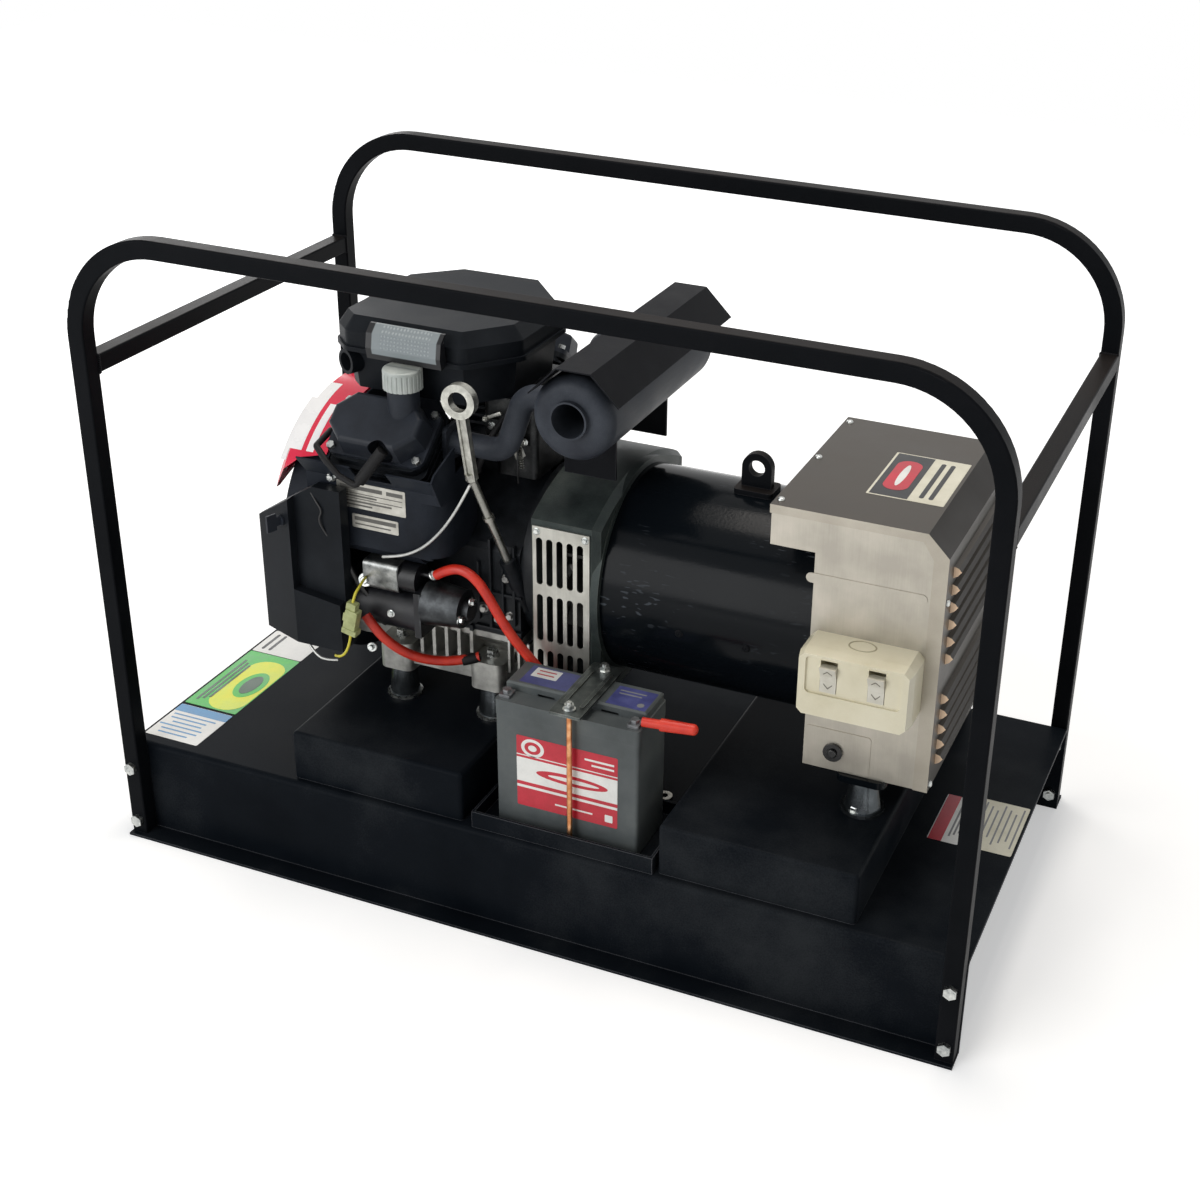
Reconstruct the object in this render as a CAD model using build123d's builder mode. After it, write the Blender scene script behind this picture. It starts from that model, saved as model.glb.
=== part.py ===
from build123d import *
import math
import os

os.makedirs("parts", exist_ok=True)

# Portable generator: a V-twin petrol engine and an alternator bolted end to end on a folded steel
# deck, inside two bent tube hoops.  X runs along the crankshaft with the alternator at +X, the
# viewer's side is -Y, Z is up from the floor, and the origin is the centre of the footprint.

# ---------------------------------------------------------------- tube frame and deck
frame_length = 1000.0
frame_depth = 524.0
frame_height = 737.0
tube = 20.0
tube_wall = 2.0
tube_corner = 2.0
bend_radius = 108.0
rail_top = 596.0
sheet = 3.0
deck_height = 117.0
deck_overhang = 1.0
deck_fold = 7.0
flange_width = 26.0
bolt_low = 21.0
bolt_high = 93.0
bolt = 8.0
bolt_play = 0.4
bolt_head = 13.0
bolt_head_height = 5.5
nut_height = 6.5

# ---------------------------------------------------------------- platforms and battery
platform_depth = 462.0
platform_height = 60.0
platform_fold = 5.0
engine_platform_from = -287.0
engine_platform_to = -72.0
alternator_platform_from = 160.0
alternator_platform_to = 379.0
tray_clear = 4.0
tray_lip = 20.0
tray_behind = 18.5
battery_x = 48.5
battery_length = 166.0
battery_width = 73.0
battery_setback = 42.5
battery_seam = 139.0
battery_ledge = 157.0
battery_height = 167.0
battery_corner = 4.0
block_front = 23.0
block_back = 2.0
clamp_width = 36.0
clamp_length = 112.0
clamp_sheet = 3.5
clamp_x = 56.0
rod = 6.0
rod_gap = 4.5

# ---------------------------------------------------------------- engine
crank_z = 352.0
shaft = 50.0
running_gap = 0.05
bank_tilt = 40.0
front_bank_x = -200.0
rear_bank_x = -172.0
block_from = -290.0
block_to = -62.0
block_half = 104.0
sump_height = 232.0
sump_half = 84.0
deck_reach = 95.0
bore_half = 50.0
fin_length = 110.0
fin_width = 92.0
fin_thick = 3.0
fin_pitch = 9.0
head_reach = 178.0
cover_reach = 219.0
cover_rise = 31.0
cover_length = 117.0
cover_width = 64.0
port_y = 107.0
port_z = 510.0
plug_hollow = 14.0
mount_y = 100.5
engine_mount_x = (-216.0, -100.0)
mount_radius = 18.0
mount_height = 40.0
filler_x = -176.0
filler_y = -140.0
filler_top = 576.0
filler_neck = 34.0
filler_bore = 11.0
cap_gap = 0.3
cap_diameter = 42.0
cap_height = 22.0
dip_low = (-73.1, -112.0, 383.7)
dip_high = (-94.1, -145.0, 487.2)
dip_tube = 9.0
dip_bore = 6.0
dip_ring = 38.0
dip_ring_hole = 22.0
fan_radius = 165.0
hood_from = -292.0
hood_to = -346.0
hood_wall = 3.0
hood_front = -338.0
intake_radius = 105.0
housing_radius = 152.0
flywheel_radius = 122.0
cleaner_x = -172.0
cleaner_y = -18.0
cleaner_half_x = 104.0
cleaner_half_y = 112.0
cleaner_corner = 16.0
cleaner_bottom = 556.0
cleaner_split = 601.0
cleaner_top = 638.0

# ---------------------------------------------------------------- exhaust
muffler_x = 18.0
muffler_z = 573.0
muffler_radius = 46.0
muffler_half = 142.0
muffler_wall = 2.0
outlet_radius = 18.5
shield_x = 27.0
shield_top = 632.0
shield_flat = 19.0
shield_slope = 31.0
shield_half = 155.0
shield_sheet = 1.5

# ---------------------------------------------------------------- alternator and its box
stator_radius = 117.0
stator_wall = 6.0
stator_from = 40.0
stator_to = 400.0
bell_half = 118.0
bell_from = -40.0
bell_to = 31.0
bell_bottom = 222.0
bell_shoulder = 443.0
bell_top = 475.0
bell_wall = 9.0
grille_bottom = 222.0
grille_top = 436.0
grille_from = -38.0
grille_to = 29.0
grille_sheet = 2.0
slot_width = 7.5
slot_pitch = 12.0
rotor_radius = 72.0
blower_radius = 98.0
alternator_mount_x = 345.0
alternator_mount_y = 110.0
box_side_gap = 9.0
box_sheet = 1.5
box_from = 280.0
box_shelf_from = 232.0
box_shelf_clear = 4.0
box_shelf_depth = 43.0
box_to = 415.0
box_bottom = 225.0
box_bevel = 22.0
lid_lip = 8.0
enclosure_from = 281.0
enclosure_to = 401.0
enclosure_low = 312.0
enclosure_high = 387.0
enclosure_depth = 46.0
enclosure_bevel = 13.0
enclosure_dish = 2.5
rocker_half = 15.5
rocker_tilt = 12.0
rocker_width = 17.0
rocker_gap = 0.4
reset_x = 313.0
reset_z = 248.0
button_radius = 5.0
button_gap = 0.3
cable_diameter = 11.0

# ---------------------------------------------------------------- values worked out once
box_half = stator_radius + box_side_gap
box_shelf_bottom = crank_z + stator_radius + box_shelf_clear
box_top = box_shelf_bottom + box_shelf_depth
post_x = (frame_length - tube) / 2
post_y = (frame_depth - tube) / 2
web_y = frame_depth / 2 - tube
deck_length = frame_length + 2 * deck_overhang
flange_edge = web_y + flange_width
top_centre = frame_height - tube / 2
mount_seat = deck_height + platform_height
foot_height = mount_seat + mount_height
tray_floor = deck_height + sheet
battery_top = tray_floor + battery_height
battery_from = battery_x - battery_length / 2
battery_to = battery_x + battery_length / 2
battery_front = battery_setback - frame_depth / 2
battery_back = battery_front + battery_width
tray_back = battery_back + tray_behind
tilt_sin = math.sin(math.radians(bank_tilt))
tilt_cos = math.cos(math.radians(bank_tilt))
centred = (Align.CENTER, Align.CENTER)
standing = (Align.CENTER, Align.MIN)


def keep(piece, name):
    """Label one finished piece and write its STEP file."""
    piece.part.label = name
    export_step(piece.part, f"parts/{name}.step")
    print(name, "volume", round(piece.part.volume))


def hexagon(across):
    """Hexagon across its flats, in the open sketch."""
    RegularPolygon(radius=across / 2, side_count=6, major_radius=False)


def make_bolts(planes, grip, diameter, head, head_height, nut, name):
    """Hexagon bolts on the given planes: head outside, shank through the grip, nut behind."""
    with BuildPart() as bolts:
        with BuildSketch(*planes):
            hexagon(head)
        extrude(amount=head_height)
        with BuildSketch(*planes):
            Circle(diameter / 2)
        extrude(amount=-(grip + nut + 2.0))
        with BuildSketch(*[plane.offset(-grip) for plane in planes]):
            hexagon(head)
        extrude(amount=-nut)
    keep(bolts, name)


def bank_plane(x, side, reach):
    """Plane square to a cylinder's axis; side -1 is the front bank and +1 the rear one."""
    axis = Vector(0, side * tilt_sin, tilt_cos)
    return Plane(origin=Vector(x, 0, crank_z) + axis * reach, x_dir=(1, 0, 0), z_dir=axis)


# ================================================================ tube hoops
def make_hoop(y, name):
    with BuildPart() as hoop:
        with BuildLine(Plane.XZ.offset(-y)) as route:
            FilletPolyline(
                (-post_x, sheet), (-post_x, top_centre), (post_x, top_centre), (post_x, sheet), radius=bend_radius
            )
        with BuildSketch(Plane(origin=(-post_x, y, sheet), x_dir=(1, 0, 0), z_dir=(0, 0, 1))):
            RectangleRounded(tube, tube, tube_corner)
            Rectangle(tube - 2 * tube_wall, tube - 2 * tube_wall, mode=Mode.SUBTRACT)
        sweep(path=route.line)
        with BuildSketch(Plane.XZ.offset(-y)):
            with Locations(*[(x, z) for x in (-post_x, post_x) for z in (bolt_low, bolt_high)]):
                Circle((bolt + bolt_play) / 2)
        extrude(amount=tube, both=True, mode=Mode.SUBTRACT)
    keep(hoop, name)


make_hoop(-post_y, "front_hoop")
make_hoop(post_y, "rear_hoop")

# Two straight rails weld the hoops together, one at each end, below the bends.
with BuildPart() as side_rails:
    with BuildSketch(Plane.XZ.offset(-web_y)):
        with Locations((-post_x, rail_top - tube / 2), (post_x, rail_top - tube / 2)):
            RectangleRounded(tube, tube, tube_corner)
            Rectangle(tube - 2 * tube_wall, tube - 2 * tube_wall, mode=Mode.SUBTRACT)
    extrude(amount=2 * web_y)
keep(side_rails, "side_rails")

# The deck is one folded sheet, a hat section with its brims turned out along the floor.
with BuildPart() as base_deck:
    with BuildSketch(Plane.YZ) as outside:
        Rectangle(2 * web_y, deck_height, align=standing)
        fillet(outside.vertices().group_by(Axis.Y)[-1], deck_fold)
        Rectangle(2 * flange_edge, sheet, align=standing)
    extrude(amount=deck_length / 2, both=True)
    with BuildSketch(Plane.YZ) as inside:
        Rectangle(2 * (web_y - sheet), deck_height - sheet, align=standing)
        fillet(inside.vertices().group_by(Axis.Y)[-1], deck_fold - sheet)
    extrude(amount=deck_length, both=True, mode=Mode.SUBTRACT)
    with BuildSketch(Plane.XZ):
        with Locations(*[(x, z) for x in (-post_x, post_x) for z in (bolt_low, bolt_high)]):
            Circle((bolt + bolt_play) / 2)
    extrude(amount=2 * web_y, both=True, mode=Mode.SUBTRACT)
keep(base_deck, "base_deck")

hoop_bolt_planes = [
    Plane(origin=(x, side * frame_depth / 2, z), x_dir=(0, 0, 1), z_dir=(0, side, 0))
    for side in (-1, 1)
    for x in (-post_x, post_x)
    for z in (bolt_low, bolt_high)
]
make_bolts(hoop_bolt_planes, tube + sheet, bolt, bolt_head, bolt_head_height, nut_height, "hoop_bolts")


# ================================================================ platforms
def make_platform(x_from, x_to, mounts, name):
    """Pressed pan, open below, with a stud hole under every rubber mount."""
    middle = (x_from + x_to) / 2
    with BuildPart() as pan:
        with BuildSketch(Plane.XY.offset(deck_height)):
            with Locations((middle, 0)):
                RectangleRounded(x_to - x_from, platform_depth, platform_fold)
        extrude(amount=platform_height)
        fillet(pan.faces().sort_by(Axis.Z)[-1].edges(), platform_fold)
        with BuildSketch(Plane.XY.offset(deck_height)):
            with Locations((middle, 0)):
                RectangleRounded(x_to - x_from - 2 * sheet, platform_depth - 2 * sheet, platform_fold - sheet)
        extrude(amount=platform_height - sheet, mode=Mode.SUBTRACT)
        with BuildSketch(Plane.XY.offset(mount_seat - sheet)):
            with Locations(*mounts):
                Circle((bolt + bolt_play) / 2)
        extrude(amount=sheet, mode=Mode.SUBTRACT)
    keep(pan, name)


engine_mount_spots = [(x, y) for x in engine_mount_x for y in (-mount_y, mount_y)]
alternator_mount_spots = [(alternator_mount_x, y) for y in (-alternator_mount_y, alternator_mount_y)]
make_platform(engine_platform_from, engine_platform_to, engine_mount_spots, "engine_platform")
make_platform(alternator_platform_from, alternator_platform_to, alternator_mount_spots, "alternator_platform")

# ================================================================ battery
tray_from = engine_platform_to + 14.0
tray_to = alternator_platform_from - tray_clear
tray_front = -(web_y - deck_fold) - 1.0
rod_front = battery_front - rod / 2 - rod_gap
rod_back = battery_back + rod / 2 + rod_gap
with BuildPart() as battery_tray:
    with BuildSketch(Plane.XY.offset(deck_height)):
        with Locations(((tray_from + tray_to) / 2, (tray_front + tray_back) / 2)):
            Rectangle(tray_to - tray_from, tray_back - tray_front)
    extrude(amount=tray_lip)
    with BuildSketch(Plane.XY.offset(tray_floor)):
        with Locations(((tray_from + tray_to) / 2, (tray_front + tray_back) / 2)):
            Rectangle(tray_to - tray_from - 2 * sheet, tray_back - tray_front - 2 * sheet)
    extrude(amount=tray_lip, mode=Mode.SUBTRACT)
keep(battery_tray, "battery_tray")

with BuildPart() as battery_case:
    with BuildSketch(Plane.XY.offset(tray_floor)):
        with Locations((battery_x, (battery_front + battery_back) / 2)):
            RectangleRounded(battery_length, battery_width, battery_corner)
    extrude(amount=battery_seam)
    fillet(battery_case.faces().sort_by(Axis.Z)[0].edges(), 1.5)
keep(battery_case, "battery_case")

ledge_z = tray_floor + battery_ledge
block_from_y = battery_front + block_front
block_to_y = battery_back - block_back
with BuildPart() as battery_lid:
    with BuildSketch(Plane.XY.offset(tray_floor + battery_seam)):
        with Locations((battery_x, (battery_front + battery_back) / 2)):
            RectangleRounded(battery_length + 1.0, battery_width + 1.0, battery_corner)
    extrude(amount=battery_ledge - battery_seam)
    with BuildSketch(Plane.XY.offset(ledge_z)):
        with Locations((battery_x, (block_from_y + block_to_y) / 2)):
            RectangleRounded(battery_length - 3.0, block_to_y - block_from_y, 2.0)
    extrude(amount=battery_top - ledge_z)
    chamfer(battery_lid.faces().sort_by(Axis.Z)[-1].edges().filter_by(Axis.X), 2.0)
    # Hand-holds moulded into the front of the lid, either side of the clamp.
    with BuildSketch(Plane.XZ.offset(-block_from_y)):
        with Locations((battery_x - 34, ledge_z - 2), (battery_x + 40, ledge_z - 2)):
            Rectangle(20, 9)
    extrude(amount=-9, mode=Mode.SUBTRACT)
keep(battery_lid, "battery_lid")

# Flat lug terminals stand on the lid's front ledge at both ends.
terminal_y = (battery_front + block_from_y) / 2
terminal_x = (battery_from + 9.0, battery_to - 9.0)
with BuildPart() as battery_terminals:
    with BuildSketch(Plane.XY.offset(ledge_z)):
        with Locations(*[(x, terminal_y) for x in terminal_x]):
            RectangleRounded(13, 15, 1.5)
    extrude(amount=4)
    with BuildSketch(Plane.XY.offset(ledge_z + 4)):
        with Locations(*[(x, terminal_y) for x in terminal_x]):
            hexagon(8.5)
    extrude(amount=4)
keep(battery_terminals, "battery_terminals")

# A short red boot lies on the right-hand terminal, its end closed.
boot_start = battery_to - 1.0
boot_z = ledge_z + 6.5
with BuildPart() as terminal_boot:
    with BuildSketch(Plane(origin=(boot_start, terminal_y, boot_z), x_dir=(0, 1, 0), z_dir=(1, 0.09, 0.03))):
        Circle(5.0)
    extrude(amount=22)
    with BuildSketch(Plane(origin=(boot_start + 20, terminal_y + 1.8, boot_z + 0.6), x_dir=(0, 1, 0), z_dir=(1, 0.09, 0.03))):
        Circle(6.8)
    extrude(amount=40, taper=1.5)
    fillet(terminal_boot.faces().sort_by(Axis.X)[-1].edges(), 5.0)
keep(terminal_boot, "terminal_boot")

bar_bottom = battery_top
bar_top = bar_bottom + clamp_sheet
with BuildPart() as battery_clamp_bar:
    with BuildSketch(Plane.XY.offset(bar_bottom)):
        with Locations((clamp_x, (rod_front + rod_back) / 2)):
            RectangleRounded(clamp_width, clamp_length, 3)
        with Locations((clamp_x, rod_front), (clamp_x, rod_back)):
            Circle(rod / 2 + bolt_play, mode=Mode.SUBTRACT)
    extrude(amount=clamp_sheet)
    # Two pressed ribs stiffen the strip along its length.
    with BuildSketch(Plane.XY.offset(bar_top)):
        with Locations(*[(clamp_x + offset, (rod_front + rod_back) / 2) for offset in (-11, 11)]):
            SlotOverall(clamp_length - 36, 5, rotation=90)
    extrude(amount=1.5)
keep(battery_clamp_bar, "battery_clamp_bar")

with BuildPart() as battery_clamp_rods:
    with BuildSketch(Plane.XY.offset(tray_floor)):
        with Locations((clamp_x, rod_front), (clamp_x, rod_back)):
            Circle(rod / 2)
    extrude(amount=bar_top - tray_floor + 9.0)
    with BuildSketch(Plane.XY.offset(bar_top)):
        with Locations((clamp_x, rod_front), (clamp_x, rod_back)):
            Circle(7.0)
    extrude(amount=1.2)
    with BuildSketch(Plane.XY.offset(bar_top + 1.2)):
        with Locations((clamp_x, rod_front), (clamp_x, rod_back)):
            hexagon(10)
    extrude(amount=5)
keep(battery_clamp_rods, "battery_clamp_rods")

# ================================================================ engine mounts
foot_top = sump_height + 20.0
alternator_foot_top = box_bottom
with BuildPart() as rubber_mounts:
    with BuildSketch(Plane.XY.offset(mount_seat)):
        with Locations(*engine_mount_spots):
            Circle(mount_radius)
    extrude(amount=foot_height - mount_seat, taper=6)
    # The alternator's pair is larger and sits in shallow metal cups.
    with BuildSketch(Plane.XY.offset(mount_seat)):
        with Locations(*alternator_mount_spots):
            Circle(24)
    extrude(amount=4)
    with BuildSketch(Plane.XY.offset(mount_seat + 4)):
        with Locations(*alternator_mount_spots):
            Circle(20)
    extrude(amount=foot_height - mount_seat - 4, taper=10)
keep(rubber_mounts, "rubber_mounts")

with BuildPart() as mount_bolts:
    for spots, seat, shank in (
        (engine_mount_spots, foot_top, 0.0),
        (alternator_mount_spots, alternator_foot_top, alternator_foot_top - foot_height),
    ):
        with BuildSketch(Plane.XY.offset(seat)):
            with Locations(*spots):
                Circle(7.8)
        extrude(amount=2)
        with BuildSketch(Plane.XY.offset(seat + 2)):
            with Locations(*spots):
                hexagon(bolt_head)
        extrude(amount=7)
        if shank:
            with BuildSketch(Plane.XY.offset(seat)):
                with Locations(*spots):
                    Circle(bolt / 2)
            extrude(amount=-shank)
keep(mount_bolts, "mount_bolts")

# ================================================================ crankcase
lower_deck = Vector(0, -tilt_sin, tilt_cos) * deck_reach - Vector(0, tilt_cos, tilt_sin) * bore_half
upper_deck = Vector(0, -tilt_sin, tilt_cos) * deck_reach + Vector(0, tilt_cos, tilt_sin) * bore_half
dip_axis = Vector(*dip_high) - Vector(*dip_low)
with BuildPart() as crankcase:
    with BuildSketch(Plane.YZ.offset(block_from)) as section:
        with BuildLine():
            Polyline(
                (0, sump_height),
                (-sump_half + 4, sump_height),
                (-sump_half, sump_height + 26),
                (-block_half, sump_height + 44),
                (-block_half, crank_z + lower_deck.Z - 6),
                (lower_deck.Y, crank_z + lower_deck.Z),
                (upper_deck.Y, crank_z + upper_deck.Z),
                (upper_deck.Y + 8, crank_z + upper_deck.Z - 22),
                (0, crank_z + upper_deck.Z - 22),
            )
            mirror(about=Plane.YZ)
        make_face()
    extrude(amount=block_to - block_from)
    # Flange that carries the alternator bell.
    with BuildSketch(Plane.YZ.offset(block_to)):
        with Locations((0, crank_z)):
            Circle(104)
    extrude(amount=bell_from - block_to)
    # Cast flange along each side, with four feet standing on the rubber mounts.
    with BuildSketch(Plane.XY.offset(foot_height)):
        with Locations(*engine_mount_spots):
            RectangleRounded(42, 40, 10)
    extrude(amount=foot_top - foot_height)
    with BuildSketch(Plane.XY.offset(foot_height + 9)):
        with Locations((sum(engine_mount_x) / 2, 0)):
            RectangleRounded(engine_mount_x[1] - engine_mount_x[0] + 46, 2 * (block_half + 9), 8)
    extrude(amount=15)
    # Boss for the dipstick tube.
    with BuildSketch(Plane(origin=dip_low, z_dir=dip_axis)):
        Circle(9)
    extrude(amount=-70)
    with BuildSketch(Plane(origin=dip_low, z_dir=dip_axis)):
        Circle(dip_bore / 2)
    extrude(amount=-90, mode=Mode.SUBTRACT)
    # Main bearing bore along the crankshaft.
    with BuildSketch(Plane.YZ.offset(block_from)):
        with Locations((0, crank_z)):
            Circle(shaft / 2 + running_gap)
    extrude(amount=bell_from - block_from, mode=Mode.SUBTRACT)
    # Stiffening ribs along the sump.
    for station in range(5):
        with BuildSketch(Plane.YZ.offset(engine_mount_x[1] - 24 - station * 16)):
            with Locations((0, sump_height + 31)):
                Rectangle(2 * block_half + 10, 54)
                Rectangle(2 * block_half - 40, 56, mode=Mode.SUBTRACT)
        extrude(amount=4)
keep(crankcase, "crankcase")


# ================================================================ cylinders
def make_cylinder(x, side, name):
    with BuildPart() as barrel:
        with BuildSketch(bank_plane(x, side, deck_reach)):
            RectangleRounded(108, 2 * bore_half - 6, 10)
        extrude(amount=8)
        with BuildSketch(bank_plane(x, side, deck_reach)):
            Circle(38)
        extrude(amount=head_reach - deck_reach)
        reach = deck_reach + 2 * fin_pitch
        while reach + fin_thick < head_reach - 2:
            with BuildSketch(bank_plane(x, side, reach)):
                RectangleRounded(fin_length, fin_width, 12)
            extrude(amount=fin_thick)
            reach += fin_pitch
        with BuildSketch(bank_plane(x, side, head_reach)):
            RectangleRounded(cover_length - 12, 2 * 38, 10)
        extrude(amount=cover_reach - head_reach)
        for layer in range(4):
            with BuildSketch(bank_plane(x, side, head_reach + layer * fin_pitch)):
                RectangleRounded(fin_length + 6, 2 * 42, 10)
            extrude(amount=fin_thick)
        with BuildSketch(bank_plane(x, side, cover_reach - 6)):
            RectangleRounded(cover_length, cover_width + 6, 12)
        extrude(amount=6)
        # Exhaust port boss.
        with BuildSketch(Plane.YZ.offset(x + fin_length / 2 - 12)):
            with Locations((side * port_y, port_z)):
                Circle(17)
        extrude(amount=cover_length / 2 - fin_length / 2 + 12.4)
    keep(barrel, name)


make_cylinder(front_bank_x, -1, "front_cylinder")
make_cylinder(rear_bank_x, 1, "rear_cylinder")


def make_valve_cover(x, side, neck, name):
    with BuildPart() as cover:
        with BuildSketch(bank_plane(x, side, cover_reach)):
            RectangleRounded(cover_length, cover_width + 6, 12)
        extrude(amount=5)
        with BuildSketch(bank_plane(x, side, cover_reach + 5)) as dome:
            Rectangle(cover_length - 6, cover_width + 2)
            chamfer(dome.vertices(), 21)
        extrude(amount=cover_rise - 5, taper=8)
        fillet(cover.faces().sort_by(Axis((x, 0, crank_z), bank_plane(x, side, 0).z_dir))[-1].edges(), 6)
        # Hollow moulded round the spark plug's elbow.
        with BuildSketch(Plane.XZ.offset(-side * 158)):
            with Locations((x + 15, port_z + 5)):
                Circle(plug_hollow)
        extrude(amount=-side * 60, mode=Mode.SUBTRACT)
        if neck:
            with BuildSketch(Plane.XY.offset(filler_top - 36)):
                with Locations((filler_x, filler_y)):
                    Circle(filler_neck / 2)
            extrude(amount=36)
            with BuildSketch(Plane.XY.offset(filler_top - 24)):
                with Locations((filler_x, filler_y)):
                    Circle(filler_bore)
            extrude(amount=24, mode=Mode.SUBTRACT)
    keep(cover, name)


make_valve_cover(front_bank_x, -1, True, "front_valve_cover")
make_valve_cover(rear_bank_x, 1, False, "rear_valve_cover")

cover_bolt_planes = []
for bank_x, side in ((front_bank_x, -1), (rear_bank_x, 1)):
    seat = bank_plane(bank_x, side, cover_reach + 5)
    for along in (-1, 1):
        for across in (-1, 1):
            spot = seat.from_local_coords((along * (cover_length / 2 - 7), across * (cover_width / 2 - 4), 0))
            cover_bolt_planes.append(Plane(origin=spot, x_dir=(1, 0, 0), z_dir=seat.z_dir))
with BuildPart() as valve_cover_bolts:
    with BuildSketch(*cover_bolt_planes):
        hexagon(8)
    extrude(amount=5)
keep(valve_cover_bolts, "valve_cover_bolts")

with BuildPart() as oil_filler_cap:
    with BuildSketch(Plane.XY.offset(filler_top + cap_gap)):
        with Locations((filler_x, filler_y)):
            Circle(cap_diameter / 2)
    extrude(amount=cap_height)
    fillet(oil_filler_cap.faces().sort_by(Axis.Z)[-1].edges(), 2.5)
    # Knurled grip and the plug that enters the neck.
    with BuildSketch(Plane.XY.offset(filler_top + cap_gap)):
        with Locations((filler_x, filler_y)):
            with PolarLocations(cap_diameter / 2 + 0.6, 24):
                Circle(1.4)
    extrude(amount=cap_height - 4, mode=Mode.SUBTRACT)
    with BuildSketch(Plane.XY.offset(filler_top - 12)):
        with Locations((filler_x, filler_y)):
            Circle(filler_bore - running_gap)
    extrude(amount=12 + cap_gap)
keep(oil_filler_cap, "oil_filler_cap")

# ================================================================ dipstick
dip_plane = Plane(origin=dip_low, z_dir=dip_axis)
dip_length = dip_axis.length
with BuildPart() as dipstick_tube:
    with BuildSketch(dip_plane):
        Circle(dip_tube / 2)
        Circle(dip_bore / 2, mode=Mode.SUBTRACT)
    extrude(amount=dip_length)
    with BuildSketch(dip_plane.offset(dip_length * 0.52)):
        Circle(dip_tube / 2 + 1.8)
        Circle(dip_tube / 2, mode=Mode.SUBTRACT)
    extrude(amount=5)
keep(dipstick_tube, "dipstick_tube")

# The stick's blade runs down the tube; its cast handle is an I-shaped arm with a ring on top.
handle_foot = Vector(*dip_high) + dip_axis.normalized() * 1.6
handle_top = Vector(-97.0, -162.0, 582.5)
handle_line = handle_top - handle_foot
handle_side = Vector(0, -1, 0)
arm_plane = Plane(origin=handle_foot, x_dir=handle_side.cross(handle_line), z_dir=handle_line)
ring_plane = Plane(origin=handle_top, x_dir=(1, 0, 0), z_dir=(0, -1, 0))
with BuildPart() as dipstick:
    with BuildSketch(Plane(origin=handle_foot, z_dir=dip_axis)):
        Circle(1.8)
    extrude(amount=-(dip_length + 60))
    with BuildSketch(Plane(origin=handle_foot, z_dir=dip_axis)):
        Circle(6.0)
    extrude(amount=9)
    with BuildSketch(arm_plane):
        Rectangle(11, 8)
        with Locations((0, 4.5), (0, -4.5)):
            Rectangle(6, 4, mode=Mode.SUBTRACT)
    extrude(amount=handle_line.length - (dip_ring + dip_ring_hole) / 4)
    with BuildSketch(ring_plane.offset(-5)):
        Circle(dip_ring / 2)
        Circle(dip_ring_hole / 2, mode=Mode.SUBTRACT)
    extrude(amount=10)
keep(dipstick, "dipstick")


# ================================================================ cylinder shrouds
shroud_y = 162.0
shroud_sheet = 2.0
shroud_low = 380.0
shroud_bend = 470.0
shroud_tip = 492.0
shroud_from = -288.0
shroud_reach = 76.0
shroud_turn = 28.0
plug_window = 44.0


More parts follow.
